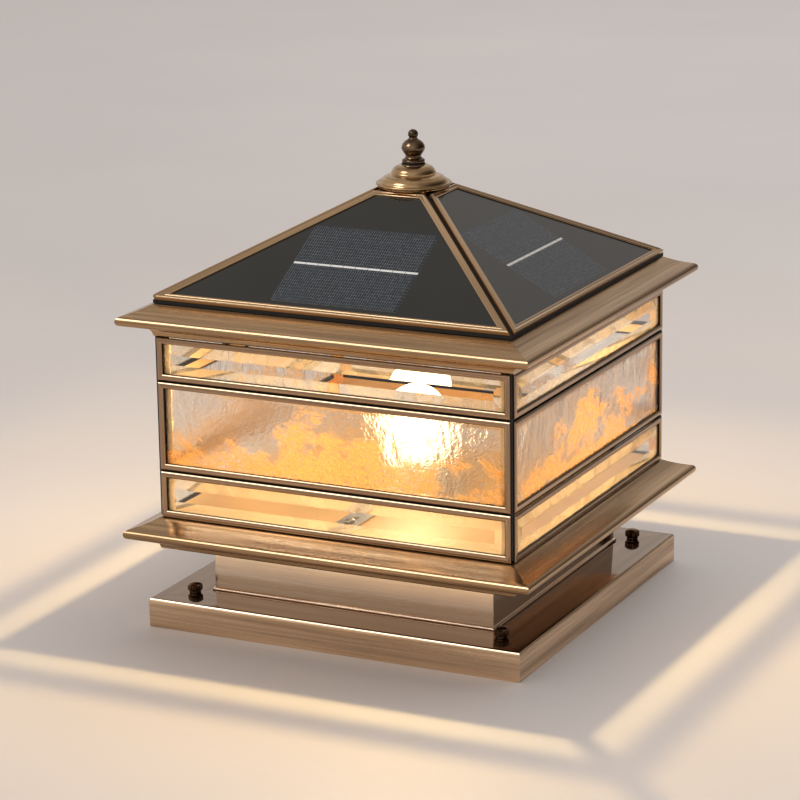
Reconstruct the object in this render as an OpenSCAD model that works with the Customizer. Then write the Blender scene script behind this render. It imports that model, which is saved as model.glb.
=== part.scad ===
// Outdoor post light with a pan on studs, a glazed lantern room and a lift-off solar roof.
// Sizes are in millimetres. Z is up, the underside of the base lies on Z = 0,
// the middle of the base is the origin and the front looks toward -Y.

/* [Base] */
// Width of the pan that stands on the pier
pan_w = 276.4; // [220:0.2:340]
// Height of the pan
pan_h = 20.5; // [16:0.5:40]
// Thickness of the folded sheet metal
sheet = 1.5; // [1:0.1:2.5]
// Bend radius of the pan's upper edge
pan_bend = 2.2; // [1.6:0.1:4]
// Distance of the neck box from the pan's edge
neck_in = 33.6; // [26:0.2:70]
// Width of the flanges turned in at the neck's ends
flange_w = 12.6; // [10.4:0.1:20]
// Height of the neck box
neck_h = 34.8; // [20:0.2:80]
// How far the bead at the neck's foot stands out
neck_bead = 1.7; // [0.5:0.1:4]

/* [Mounting] */
// Gap between the bolted plate's edge and the wall of the pan
plate_gap = 11.7; // [6:0.1:16]
// Thickness of the mounting plate
plate_t = 3; // [2:0.5:6]
// Distance between the anchor holes
anchor_span = 180; // [120:1:200]
// Diameter of an anchor hole
anchor_d = 7; // [5:0.5:10]
// Diameter of the wire hole in the middle
wire_d = 30; // [15:1:60]
// Distance of a stud from the plate's edge
stud_in = 10; // [7.5:0.5:14]
// Diameter of a stud
stud_d = 5; // [4:0.5:6]
// Diameter of a thumb nut's grip
nut_d = 10.4; // [9:0.1:16]
// Height of a thumb nut
nut_h = 7.2; // [6:0.1:14]
// Number of flutes around a thumb nut's grip
flutes = 20; // [12:1:28]

/* [Cornices] */
// How far a cornice's nose stands out from the faces of the pane frames
cornice_out = 18; // [14:0.5:26]
// Height of a cornice
cornice_h = 24.2; // [20:0.1:30]
// Radius of the rounded nose
nose_r = 3.3; // [2:0.1:4]
// Height of the nose's centre over the cornice's underside
nose_rise = 12; // [10:0.1:14]
// Wall thickness of the formed cornice
cornice_wall = 1.4; // [1:0.1:1.8]

/* [Lantern] */
// Width over the faces of the pane frames
body_w = 264; // [240:0.5:280]
// Height of the lowest row of panes
row_low = 31; // [25:0.5:45]
// Height of the middle row of panes
row_mid = 62.5; // [50:0.5:90]
// Height of the highest row of panes
row_high = 31; // [25:0.5:45]
// Width of a frame bar's face
bar_w = 6; // [5:0.1:9]
// Thickness of a frame from its face to its back
bar_t = 4.4; // [4.2:0.1:6]
// How much a bar's face is rounded
bar_round = 1; // [0.4:0.1:1.4]
// Gap between two frames above one another
row_gap = 1.2; // [0.6:0.1:2]
// Distance of a frame's end from the lantern's corner
corner_gap = 2.6; // [2.4:0.1:4]
// Thickness of a pane's edge in its channel
edge_t = 1.4; // [1:0.1:1.5]
// Width of the bevel on a clear pane
bevel_w = 8; // [4:0.5:12]
// Height of the bevel over the pane's edge
bevel_t = 1.45; // [0.8:0.05:1.6]
// Thickness of the rippled middle panes over their edge
ripple_t = 0.9; // [0.5:0.1:1.5]
// Thickness of the dark inner frame
post_t = 1.45; // [1:0.05:2]

/* [Lamp] */
// Diameter of the bulb's globe
bulb_d = 44; // [40:1:60]
// Height of the globe's centre
bulb_z = 130; // [124:0.5:140]
// Height of the globe's centre over the bulb's screw cap
globe_rise = 28; // [26:0.5:34]
// Height of the bulb's screw cap
cap_h = 24; // [20:0.5:28]
// Diameter over the bulb's screw cap
cap_d = 26.3; // [26:0.1:26.5]
// Width of the lamp bracket's strap
strap_w = 16; // [12:1:24]
// Distance of the bracket's slots from the faces of the pane frames
slot_in = 28; // [25:0.5:60]
// Radius of the lamp holder's barrel
holder_r = 17; // [16.6:0.1:20]

/* [Roof] */
// How far the roof's edge stands back from the faces of the pane frames
roof_in = 1.7; // [1:0.1:8]
// Width of the flat top of the roof
roof_top_w = 40.4; // [30:0.2:60]
// Height of the roof's slope
roof_rise = 59.3; // [40:0.1:80]
// Thickness of the roof's sheet
roof_wall = 1.5; // [1:0.1:2.5]
// Width of a panel frame's bar
panel_bar_w = 7; // [6:0.1:10]
// Thickness of a panel frame's bar
panel_bar_t = 3.6; // [3.2:0.1:5]
// Distance of a panel frame from the hip and the eaves
hip_gap = 1.5; // [1:0.1:3]
// Thickness of a solar panel
panel_t = 2; // [1.5:0.1:2]
// Diameter of a battery cell
cell_d = 18.6; // [14:0.1:20]
// Length of a battery cell
cell_l = 66; // [50:1:70]
// Width of the controller
unit_w = 56; // [40:1:60]
// Length of the controller
unit_l = 44; // [36:1:66]
// Height of the controller
unit_h = 17; // [12:0.5:20]
// Distance of the battery and the controller from the middle
unit_at = 48; // [44:1:60]

/* [Finial] */
// Radius of the roof cap's rim
cap_rim_r = 26.2; // [24:0.1:26.4]
// Height of the roof cap
roof_cap_h = 17.4; // [12:0.1:24]
// Diameter of the finial's rod
rod_d = 6; // [5:0.5:8]
// Height of the finial over its seal
finial_h = 22.8; // [18:0.1:30]

/* [Fits] */
// Clearance between pieces that move on each other
move_gap = 0.3; // [0.2:0.05:0.5]
// Clearance between pieces that are fixed to each other
fit_gap = 0.05; // [0:0.01:0.1]

/* [Hidden] */
$fn = 48;
brass = [0.55, 0.42, 0.24];
bronze = [0.24, 0.18, 0.13];
black = [0.07, 0.07, 0.075];
steel = [0.6, 0.61, 0.62];
clear = [0.8, 0.88, 0.9, 0.35];
pan_r = pan_w / 2;
neck_r = pan_r - neck_in;
flange_r = neck_r - flange_w;
body_r = body_w / 2;
nose_x = body_r + cornice_out - nose_r;
neck_top = pan_h + neck_h;
room_low = neck_top + cornice_h;
room_high = room_low + row_low + row_mid + row_high;
deck = room_high + cornice_h;
ledge_r = body_r - 10;
deck_r = body_r - 14;
cornice_edge = body_r - 1.4;
back_r = body_r - bar_t;
frame_hw = body_r - corner_gap;
plate_r = pan_r - sheet - plate_gap;
stud_r = plate_r - stud_in;
slot_at = body_r - slot_in;
stud_end = pan_h + nut_h - 2;
floor_top = room_low + sheet;
strap_top = floor_top + 1.6;
bulb_top = bulb_z + bulb_d / 2;
shell_top = bulb_z - globe_rise;
cap_low = shell_top - cap_h;
roof_r = body_r - roof_in;
roof_top_r = roof_top_w / 2;
roof_low = deck + move_gap;
slope_low = roof_low + 1.3;
roof_top = slope_low + roof_rise;
pitch = atan2(roof_rise, roof_r - roof_top_r);
slope_len = norm([roof_rise, roof_r - roof_top_r]);
rim_in = roof_r - roof_wall;
drop = roof_wall / cos(pitch);
slope_in = slope_low + roof_wall * tan(pitch) - drop;
top_in = roof_top - roof_wall - 0.1;
rim_in_top = rim_in - (top_in - slope_in) / tan(pitch);
panel_end = (roof_r - cap_rim_r - 0.2) / cos(pitch);
cap_foot = roof_top + fit_gap;
cap_top = roof_top + roof_cap_h;
seal_top = cap_top + 0.8;
finial_low = seal_top + move_gap;
rod_low = room_high - 3;
rod_high = finial_low + 8;
bar_low = room_high + cornice_wall;
bar_top = bar_low + 3;
tray_top = roof_low + sheet;
screw_neck = flange_r + flange_w / 2 + 0.2;
screw_bridge = body_r - 7;
bridge_r = body_r - 4;

// Directions in which the corners of a plan move when its sides move out by one
function corner_dirs(p) = [
    for (i = [0:len(p) - 1])
    let (
        a = p[(i + len(p) - 1) % len(p)],
        b = p[i],
        c = p[(i + 1) % len(p)],
        e = (b - a) / norm(b - a),
        f = (c - b) / norm(c - b),
        m = [e[1], -e[0]],
        n = [f[1], -f[0]]
    )
    (m + n) / (1 + m * n)
];

// Corners of a rectangle, and the points of a round in a section
function box_plan(x, y) = [[-x, -y], [x, -y], [x, y], [-x, y]];
function round_points(cx, cy, rx, ry, from, to, steps) = [
    for (i = [0:steps])
    let (a = from + (to - from) * i / steps)
    [cx + rx * cos(a), cy + ry * sin(a)]
];

// A section carried around a plan with mitred corners: out from the plan, height
module mitred_ring(p, section) {
    n = len(p);
    k = len(section);
    dirs = corner_dirs(p);
    points = [
        for (i = [0:n - 1])
        for (s = section)
        [p[i][0] + s[0] * dirs[i][0], p[i][1] + s[0] * dirs[i][1], s[1]]
    ];
    sides = [
        for (i = [0:n - 1])
        for (j = [0:k - 1])
        [i * k + j, i * k + (j + 1) % k, ((i + 1) % n) * k + (j + 1) % k, ((i + 1) % n) * k + j]
    ];
    polyhedron(points, sides, convexity = 8);
}

// A closed body whose plan moves out or in with height: out from the plan, height
module stepped_body(p, steps) {
    n = len(p);
    k = len(steps);
    dirs = corner_dirs(p);
    points = [
        for (s = steps)
        for (i = [0:n - 1])
        [p[i][0] + s[0] * dirs[i][0], p[i][1] + s[0] * dirs[i][1], s[1]]
    ];
    sides = [
        for (j = [0:k - 2])
        for (i = [0:n - 1])
        [j * n + i, (j + 1) * n + i, (j + 1) * n + (i + 1) % n, j * n + (i + 1) % n]
    ];
    low = [for (i = [0:n - 1]) i];
    high = [for (i = [n - 1:-1:0]) (k - 1) * n + i];
    polyhedron(points, concat(sides, [low, high]), convexity = 4);
}

// The same thing at the four corners of a square
module at_corners(r) {
    for (x = [-r, r])
    for (y = [-r, r])
    translate([x, y, 0])
    children();
}

// The plate is cut from steel sheet, drilled for anchors, wire and pressed-in studs
module mounting_plate() {
    color(steel)
    difference() {
        linear_extrude(plate_t)
        difference() {
            union() {
                square([2 * plate_r, 2 * plate_r - 12], center = true);
                square([2 * plate_r - 12, 2 * plate_r], center = true);
                at_corners(plate_r - 6)
                circle(6);
            }
            circle(d = wire_d);
            at_corners(anchor_span / 2)
            circle(d = anchor_d);
            at_corners(stud_r)
            circle(d = stud_d + 2 * fit_gap);
        }
        at_corners(stud_r)
        translate([0, 0, -1])
        cylinder(h = 2.3, r = stud_d / 2 + 1.6);
    }
}

// The studs are pressed into the plate and stand up through the pan
module mounting_studs() {
    color(steel)
    at_corners(stud_r) {
        translate([0, 0, 0.2])
        cylinder(h = 1.05, r = stud_d / 2 + 1.5);
        translate([0, 0, 1.2])
        cylinder(h = stud_end - 2, d = stud_d);
        translate([0, 0, stud_end - 0.8])
        cylinder(h = 0.6, d1 = stud_d, d2 = stud_d - 1.2);
    }
}

// The pan is a folded tray, open below, with a window under the neck
module base_pan() {
    color(brass)
    difference() {
        mitred_ring(box_plan(pan_r, pan_r), concat(
            [[-sheet, 0], [0, 0]],
            round_points(-pan_bend, pan_h - pan_bend, pan_bend, pan_bend, 0, 90, 5),
            [[flange_r - 2 - pan_r, pan_h], [flange_r - 2 - pan_r, pan_h - sheet]],
            round_points(-pan_bend, pan_h - pan_bend, pan_bend - sheet, pan_bend - sheet, 90, 0, 2)
        ));
        at_corners(stud_r)
        cylinder(h = pan_h + 1, d = stud_d + 4 * move_gap);
        for (a = [0:90:270])
        rotate([0, 0, a])
        translate([screw_neck, 0, 0])
        cylinder(h = pan_h + 1, d = 4.4);
    }
}

// A thumb nut is turned, fluted around its grip, domed on top and bored blind
module thumb_nut(x, y) {
    translate([x * stud_r, y * stud_r, pan_h + move_gap])
    difference() {
        intersection() {
            linear_extrude(nut_h)
            difference() {
                circle(d = nut_d);
                for (i = [0:flutes - 1])
                rotate([0, 0, 360 * i / flutes])
                translate([nut_d / 2 + 0.15, 0])
                circle(0.55);
            }
            rotate_extrude()
            polygon(concat(
                [[0, 0], [4.1, 0], [4.1, 1.1], [nut_d / 2 - 0.7, 1.7], [nut_d / 2, 2.1]],
                [[nut_d / 2, nut_h - 2.3]],
                round_points(0, nut_h - 2.1, nut_d / 2 - 0.1, 2.1, 12, 90, 6)
            ));
        }
        translate([0, 0, -1])
        cylinder(h = nut_h - 1.4 + 0.6, d = stud_d + 2 * move_gap);
    }
}

module thumb_nut_front_left() { color(bronze) thumb_nut(-1, -1); }
module thumb_nut_front_right() { color(bronze) thumb_nut(1, -1); }
module thumb_nut_back_right() { color(bronze) thumb_nut(1, 1); }
module thumb_nut_back_left() { color(bronze) thumb_nut(-1, 1); }

// The neck is a box of sheet with a bead at its foot and flanges turned in
module neck_box() {
    color(bronze)
    difference() {
        mitred_ring(box_plan(neck_r, neck_r), concat(
            [[-flange_w, pan_h]],
            round_points(neck_bead - 0.9, pan_h + 0.9, 0.9, 0.9, -90, 90, 6),
            [[0.3, pan_h + 2], [0, pan_h + 2.4], [0, neck_top], [-flange_w, neck_top]],
            [[-flange_w, neck_top - sheet], [-sheet, neck_top - sheet]],
            [[-sheet, pan_h + sheet], [-flange_w, pan_h + sheet]]
        ));
        for (a = [0:90:270])
        rotate([0, 0, a])
        translate([screw_neck, 0, pan_h - 1])
        cylinder(h = neck_h + 2, d = 4.4);
    }
}

// Outer and inner line of a cornice section, from its underside up and back down
function cornice_line(low_r, high_r) = concat(
    [[low_r - body_r, 0], [-1, 0]],
    round_points(nose_x - body_r, 0.7, nose_x - cornice_edge - 0.9, nose_rise - nose_r - 0.7, 180, 90, 9),
    round_points(nose_x - body_r, nose_rise, nose_r, nose_r, -72, 72, 8),
    [for (s = [0.25, 0.5, 0.75])
        let (
            x0 = nose_x - body_r + nose_r * cos(72),
            y0 = nose_rise + nose_r * sin(72),
            x1 = cornice_edge - body_r
        )
        [x0 + (x1 - x0) * s - 0.28 * sin(180 * s), y0 + (cornice_h - y0) * s - 0.5 * sin(180 * s)]],
    [[cornice_edge - body_r, cornice_h], [high_r - body_r, cornice_h]],
    [[high_r - body_r, cornice_h - cornice_wall]],
    [[cornice_edge - body_r - 0.4, cornice_h - cornice_wall]],
    round_points(nose_x - body_r, nose_rise, nose_r - cornice_wall, nose_r - cornice_wall, 60, -90, 5),
    round_points(nose_x - body_r, 0.7, nose_x - cornice_edge - 0.9 + cornice_wall,
        nose_rise - nose_r - 0.7 + cornice_wall, 95, 172, 6),
    [[-1.6, cornice_wall], [low_r - body_r, cornice_wall]]
);

module cornice(low_r, high_r) {
    mitred_ring(box_plan(body_r, body_r), cornice_line(low_r, high_r));
}

// The lower cornice is formed sheet, screwed down on the neck's flange
module lower_cornice() {
    color(brass)
    difference() {
        translate([0, 0, neck_top])
        cornice(flange_r + 3, ledge_r);
        for (a = [0:90:270])
        rotate([0, 0, a])
        translate([screw_neck, 0, neck_top - 1])
        cylinder(h = 4, d = 4.4);
    }
}

// The floor of the lamp room lies on the cornice's ledge
module floor_plate() {
    color(brass)
    translate([0, 0, room_low + fit_gap])
    linear_extrude(sheet - fit_gap)
    difference() {
        square(2 * (back_r - post_t - 0.2), center = true);
        circle(r = holder_r + 2 * move_gap);
        for (y = [-1, 1])
        translate([0, y * slot_at])
        circle(d = 4.4);
    }
}

// The lamp bracket is a strap with a ring in its middle and a slot near each end
module lamp_bracket() {
    color(steel)
    translate([0, 0, floor_top])
    linear_extrude(strap_top - floor_top)
    difference() {
        union() {
            square([strap_w, 2 * slot_at + 36], center = true);
            circle(r = holder_r + 14);
        }
        circle(r = holder_r + 2 * move_gap);
        for (y = [-1, 1])
        translate([0, y * slot_at]) {
            square([4.4, 20], center = true);
            translate([0, -10])
            circle(d = 4.4);
            translate([0, 10])
            circle(d = 4.4);
        }
    }
}

// The holder hangs through the bracket on its flange
module lamp_holder() {
    color([0.9, 0.88, 0.82])
    rotate_extrude()
    polygon([
        [4, cap_low - 9], [holder_r - 1.5, cap_low - 9], [holder_r, cap_low - 7.5],
        [holder_r, strap_top + fit_gap], [holder_r + 6.5, strap_top + fit_gap],
        [holder_r + 7.5, strap_top + 1], [holder_r + 7.5, strap_top + 2],
        [holder_r + 6.5, strap_top + 2.8], [holder_r + 1.6, strap_top + 3.2],
        [holder_r + 0.6, strap_top + 4.5], [holder_r + 0.2, shell_top + 0.4], [holder_r - 0.6, shell_top + 2],
        [cap_d / 2 + move_gap + 0.6, shell_top + 2], [cap_d / 2 + move_gap, shell_top + 1.2],
        [cap_d / 2 + move_gap, cap_low - move_gap], [4, cap_low - move_gap]
    ]);
}

// The bulb's cap carries a screw thread, drawn as rounds, and a middle contact
module bulb_cap() {
    color(steel)
    rotate_extrude()
    polygon(concat(
        [[0, cap_low], [4.5, cap_low], [5.5, cap_low + 1], [8, cap_low + 2.2], [11.4, cap_low + 4]],
        [for (i = [0:floor((cap_h - 6.9) / 3.3)], s = [0:3])
            [cap_d / 2 - 0.45 - 0.45 * cos(90 * s), cap_low + 4.4 + i * 3.3 + s * 0.825]],
        [[cap_d / 2 - 0.9, shell_top], [0, shell_top]]
    ));
}

// The globe is blown glass on a short neck
module bulb_globe() {
    color([1, 0.92, 0.7, 0.5])
    rotate_extrude()
    polygon(concat(
        [[11.7, shell_top + 0.1], [12.5, shell_top + 0.1], [12.5, shell_top + 3], [13.1, shell_top + 7]],
        round_points(0, bulb_z, bulb_d / 2, bulb_d / 2, -50, 90, 16),
        round_points(0, bulb_z, bulb_d / 2 - 0.8, bulb_d / 2 - 0.8, 90, -50, 16),
        [[12.3, shell_top + 7.2], [11.7, shell_top + 3.2]]
    ));
}

// Four light filaments stand around a wire on the glass stem
module bulb_filament() {
    color([1, 0.8, 0.4])
    union() {
        translate([0, 0, shell_top + 0.1])
        cylinder(h = 12, r1 = 6, r2 = 2.2);
        translate([0, 0, shell_top + 11])
        cylinder(h = globe_rise + 1, r = 0.7);
        for (a = [45:90:315])
        rotate([0, 0, a]) {
            translate([6.5, 0, bulb_z - 13])
            cylinder(h = 25, r = 1);
            for (z = [bulb_z - 12.4, bulb_z + 11.4])
            translate([0, 0, z])
            rotate([0, 90, 0])
            cylinder(h = 6.5, r = 0.5);
        }
    }
}

// The inner frame: four folded posts and two rails behind the gaps of the pane frames
module inner_frame() {
    lip = 1.5;
    inside = back_r - post_t;
    tip = body_r - 1.5;
    color(black)
    union() {
        for (a = [0:90:270])
        rotate([0, 0, a])
        translate([0, 0, room_low + fit_gap])
        linear_extrude(room_high - room_low - 2 * fit_gap)
        polygon([
            [inside, inside], [inside - 5, inside], [inside - 5, back_r - fit_gap],
            [back_r - fit_gap - lip, back_r - fit_gap], [tip - lip, tip], [tip, tip], [tip, tip - lip],
            [back_r - fit_gap, back_r - fit_gap - lip], [back_r - fit_gap, inside - 5],
            [inside, inside - 5]
        ]);
        for (z = [room_low + row_low, room_low + row_low + row_mid])
        translate([0, 0, z - 3])
        linear_extrude(6)
        difference() {
            square(2 * (back_r - fit_gap), center = true);
            square(2 * inside, center = true);
        }
    }
}

// Lower edge and height of the rows of panes
row_from = [room_low, room_low + row_low, room_low + row_low + row_mid];
row_tall = [row_low, row_mid, row_high];

// Carries a flat thing, drawn in plan with its face up, to one side and row of the lantern
module on_wall(side, row) {
    rotate([0, 0, 90 * side])
    translate([0, -body_r, row_from[row] + row_tall[row] / 2])
    rotate([90, 0, 0])
    children();
}

// A pane frame: rounded face, channel for the glass, back edges sloped to meet at corners
module pane_frame(side, row) {
    round_r = (pow(bar_w / 2, 2) + pow(bar_round, 2)) / (2 * bar_round);
    half = asin(bar_w / 2 / round_r);
    seat = bar_round + 1.05;
    on_wall(side, row)
    mitred_ring(box_plan(frame_hw, (row_tall[row] - row_gap) / 2), concat(
        [[bar_round - bar_t, -bar_t], [0, -bar_round]],
        round_points(-bar_w / 2, -round_r, round_r, round_r, 90 - half, 90 + half, 9),
        [[-bar_w, -seat], [-bar_w + 2.8, -seat], [-bar_w + 2.8, -seat - edge_t - 2 * fit_gap]],
        [[-bar_w, -seat - edge_t - 2 * fit_gap], [-bar_w, -bar_t]]
    ));
}

// A pane: thin edge in the channel, bevelled to its full thickness, or stepped and rippled
module pane(side, row) {
    seat = bar_round + 1.05 + fit_gap + edge_t;
    inset = bar_w - 2.7;
    plan = box_plan(frame_hw - inset, (row_tall[row] - row_gap) / 2 - inset);
    on_wall(side, row)
    if (row == 1) {
        stepped_body(plan, [
            [0, -seat], [0, edge_t - seat], [-3.2, edge_t - seat], [-3.6, edge_t + ripple_t - seat]
        ]);
    }
    else {
        stepped_body(plan, [
            [0, -seat], [0, edge_t - seat], [-2.8, edge_t - seat], [-2.8 - bevel_w, edge_t + bevel_t - seat]
        ]);
    }
}

// Twelve frames: brass bars mitred and soldered, one for each pane
module frame_front_low() { color(brass) pane_frame(0, 0); }
module frame_front_mid() { color(brass) pane_frame(0, 1); }
module frame_front_high() { color(brass) pane_frame(0, 2); }
module frame_right_low() { color(brass) pane_frame(1, 0); }
module frame_right_mid() { color(brass) pane_frame(1, 1); }
module frame_right_high() { color(brass) pane_frame(1, 2); }
module frame_back_low() { color(brass) pane_frame(2, 0); }
module frame_back_mid() { color(brass) pane_frame(2, 1); }
module frame_back_high() { color(brass) pane_frame(2, 2); }
module frame_left_low() { color(brass) pane_frame(3, 0); }
module frame_left_mid() { color(brass) pane_frame(3, 1); }
module frame_left_high() { color(brass) pane_frame(3, 2); }

// Twelve panes: bevelled in the low and high rows, rippled in the middle row
module glass_front_low() { color(clear) pane(0, 0); }
module glass_front_mid() { color(clear) pane(0, 1); }
module glass_front_high() { color(clear) pane(0, 2); }
module glass_right_low() { color(clear) pane(1, 0); }
module glass_right_mid() { color(clear) pane(1, 1); }
module glass_right_high() { color(clear) pane(1, 2); }
module glass_back_low() { color(clear) pane(2, 0); }
module glass_back_mid() { color(clear) pane(2, 1); }
module glass_back_high() { color(clear) pane(2, 2); }
module glass_left_low() { color(clear) pane(3, 0); }
module glass_left_mid() { color(clear) pane(3, 1); }
module glass_left_high() { color(clear) pane(3, 2); }

// The upper cornice is the same formed strip, with a deck for the roof
module upper_cornice() {
    color(brass)
    difference() {
        translate([0, 0, room_high])
        cornice(ledge_r - 1, deck_r);
        for (y = [-1, 1])
        translate([0, y * screw_bridge, room_high - 1])
        cylinder(h = 4, d = 4.4);
    }
}

// The bridge bar spans the upper cornice and takes the finial's rod in its boss
module bridge_bar() {
    color(steel)
    difference() {
        union() {
            translate([-11, -bridge_r, bar_low])
            cube([22, 2 * bridge_r, bar_top - bar_low]);
            translate([0, 0, rod_low - 1])
            cylinder(h = bar_top - rod_low + 7, r = 8);
        }
        translate([0, 0, rod_low - 2])
        cylinder(h = 30, d = rod_d + 2 * move_gap);
        for (y = [-1, 1])
        translate([0, y * screw_bridge, bar_low - 1])
        cylinder(h = 6, d = 4.4);
    }
}

// One pan head screw, its seat at the height given, pointing down
module one_screw() {
    translate([0, 0, -6])
    cylinder(h = 6.1, d = 4);
    translate([0, 0, fit_gap])
    rotate_extrude()
    polygon(concat([[0, 0], [3.8, 0], [3.8, 1]], round_points(0, 0.9, 3.7, 1.5, 5, 90, 5)));
}

// Twelve equal screws: pan to neck, neck to cornice, bracket and bridge bar
module screws() {
    color(steel) {
        for (a = [0:90:270])
        rotate([0, 0, a]) {
            translate([screw_neck, 0, pan_h + sheet])
            one_screw();
            translate([screw_neck, 0, neck_top - sheet])
            mirror([0, 0, 1])
            one_screw();
        }
        for (y = [-1, 1]) {
            translate([0, y * slot_at, strap_top])
            one_screw();
            translate([0, y * screw_bridge, bar_top])
            one_screw();
        }
    }
}

// The roof shell is a black sheet pyramid with a short upright rim and a flat top
module roof_shell() {
    color(black)
    difference() {
        stepped_body(box_plan(roof_r, roof_r), [
            [0, roof_low], [0, slope_low], [roof_top_r - roof_r, roof_top]
        ]);
        stepped_body(box_plan(rim_in, rim_in), [
            [0, roof_low - 1], [0, slope_in], [rim_in_top - rim_in, top_in]
        ]);
        translate([0, 0, top_in - 1])
        cylinder(h = 5, d = rod_d + 2 * move_gap);
    }
}

// Carries a flat thing, drawn from the eaves up with its face up, to one slope of the roof
module on_slope(side) {
    rotate([0, 0, 90 * side])
    translate([0, -roof_r, slope_low])
    rotate([pitch, 0, 0])
    children();
}

// Plan of a panel frame on the slope, from the eaves to the cap
function slope_half(v) = roof_r - v * cos(pitch) - hip_gap * norm([1, cos(pitch)]);
slope_plan = [
    [-slope_half(hip_gap), hip_gap], [slope_half(hip_gap), hip_gap],
    [slope_half(panel_end), panel_end], [-slope_half(panel_end), panel_end]
];

// A panel frame: a rounded bar with a rabbet, mitred around the slope's four sides
module panel_frame(side) {
    on_slope(side)
    mitred_ring(slope_plan, concat(
        [[-3.1, fit_gap], [0, fit_gap]],
        round_points(-1.2, panel_bar_t - 1.2, 1.2, 1.2, 0, 100, 4),
        [[-2.1, panel_bar_t - 0.5], [1.7 - panel_bar_w, panel_bar_t - 0.6]],
        round_points(0.8 - panel_bar_w, panel_bar_t - 1, 0.8, 0.8, 80, 175, 3),
        [[-panel_bar_w, panel_t + 2 * fit_gap], [-3.1, panel_t + 2 * fit_gap]]
    ));
}

module panel_frame_front() { color(brass) panel_frame(0); }
module panel_frame_right() { color(brass) panel_frame(1); }
module panel_frame_back() { color(brass) panel_frame(2); }
module panel_frame_left() { color(brass) panel_frame(3); }

// A solar panel: cells laminated under glass, cut to the shape of the slope
module solar_panel(side) {
    on_slope(side)
    stepped_body(slope_plan, [
        [-3.2, fit_gap], [-3.2, panel_t + fit_gap]
    ]);
}

module solar_panel_front() { color(black) solar_panel(0); }
module solar_panel_right() { color(black) solar_panel(1); }
module solar_panel_back() { color(black) solar_panel(2); }
module solar_panel_left() { color(black) solar_panel(3); }

// The tray closes the roof from below and centres it on the upper cornice
module ceiling_plate() {
    spigot = deck_r - 2 * move_gap;
    color(black)
    difference() {
        union() {
            translate([0, 0, roof_low])
            linear_extrude(sheet)
            square(2 * (rim_in - 2.4), center = true);
            translate([0, 0, roof_low - 4])
            linear_extrude(4.2)
            difference() {
                square(2 * spigot, center = true);
                square(2 * (spigot - sheet), center = true);
            }
        }
        translate([0, 0, roof_low - 1])
        cylinder(h = 4, d = rod_d + 2);
        translate([unit_at, 0, roof_low - 1])
        cylinder(h = 4, r = 4 + move_gap);
    }
}

// Three cells side by side in one sleeve
module battery_pack() {
    color([0.16, 0.22, 0.5])
    translate([-unit_at, cell_l / 2, tray_top + fit_gap + cell_d / 2])
    rotate([90, 0, 0])
    linear_extrude(cell_l)
    union() {
        for (x = [-cell_d, 0, cell_d])
        translate([x, 0])
        circle(d = cell_d);
        translate([-cell_d, -cell_d / 2])
        square([2 * cell_d, cell_d]);
    }
}

// The controller sits on the tray, with a pocket below for the push button
module controller_box() {
    color([0.1, 0.1, 0.11])
    difference() {
        translate([unit_at - unit_w / 2, -unit_l / 2, tray_top + fit_gap])
        cube([unit_w, unit_l, unit_h]);
        translate([unit_at, 0, tray_top - 1])
        cylinder(h = 8, r = 5.6);
    }
}

// The push button reaches down through the tray
module power_button() {
    color([0.75, 0.1, 0.08])
    translate([unit_at, 0, 0])
    rotate_extrude()
    polygon([
        [0, roof_low - 2.8], [3.4, roof_low - 2.8], [4, roof_low - 2.2], [4, tray_top + move_gap],
        [5.2, tray_top + move_gap], [5.2, tray_top + 1.8], [0, tray_top + 1.8]
    ]);
}

// The roof cap is spun: a rolled rim, a low dome and a small dome above it
module roof_cap() {
    r = cap_rim_r;
    z = cap_foot;
    color(brass)
    rotate_extrude()
    polygon(concat(
        [[13, z], [r - 0.9, z]],
        round_points(r - 1.2, z + 1.35, 1.2, 1.35, -80, 90, 6),
        [[r - 2.8, z + 2.8], [r - 3.3, z + 3.2]],
        round_points(11, z + 3.2, r - 14.3, 8.2, 8, 68, 6),
        [[15.1, z + 11], [15.3, z + 11.5], [15, z + 12]],
        round_points(6, z + 12, 8.8, cap_top - z - 12, 8, 72, 6),
        [[8.6, cap_top], [rod_d / 2 + move_gap, cap_top], [rod_d / 2 + move_gap, cap_top - 1.2]],
        round_points(6, z + 11.2, 7.4, cap_top - z - 12.4, 80, 4, 5),
        [[13.4, z + 10.4]],
        round_points(11, z + 3, r - 15.6, 7, 66, 0, 5),
        [[r - 4.6, z + 1.2], [13, z + 1.2]]
    ));
}

// The seal is a rubber ring under the finial's collar
module cap_seal() {
    color([0.05, 0.05, 0.05])
    translate([0, 0, cap_top + fit_gap])
    difference() {
        cylinder(h = 0.75, r = 8.1);
        translate([0, 0, -1])
        cylinder(h = 3, d = rod_d + 2 * move_gap);
    }
}

// The finial is a cast urn with a collar below and a ball on top
module finial() {
    z = finial_low;
    s = finial_h / 22.8;
    color(bronze)
    difference() {
        rotate_extrude()
        polygon(concat(
            [[0, z], [7.2, z], [7.7, z + 0.5 * s], [7.8, z + 1.3 * s], [7.6, z + 2.1 * s]],
            [[6.8, z + 2.8 * s], [5.7, z + 3.5 * s], [5.3, z + 4.3 * s], [5.5, z + 5.2 * s]],
            [[6.3, z + 6.4 * s], [7.3, z + 7.8 * s], [7.9, z + 9.2 * s], [8.05, z + 10.3 * s]],
            [[7.8, z + 11.6 * s], [7.1, z + 13 * s], [6.1, z + 14.2 * s], [5, z + 15.1 * s]],
            [[3.7, z + 15.9 * s], [2.9, z + 16.6 * s], [2.7, z + 17.1 * s], [2.9, z + 17.5 * s]],
            round_points(0, z + 19.3 * s, 3.5, 3.5 * s, -32, 90, 9)
        ));
        translate([0, 0, z - 1])
        cylinder(h = rod_high - z + 1.3, d = rod_d + 2 * fit_gap);
    }
}

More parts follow.
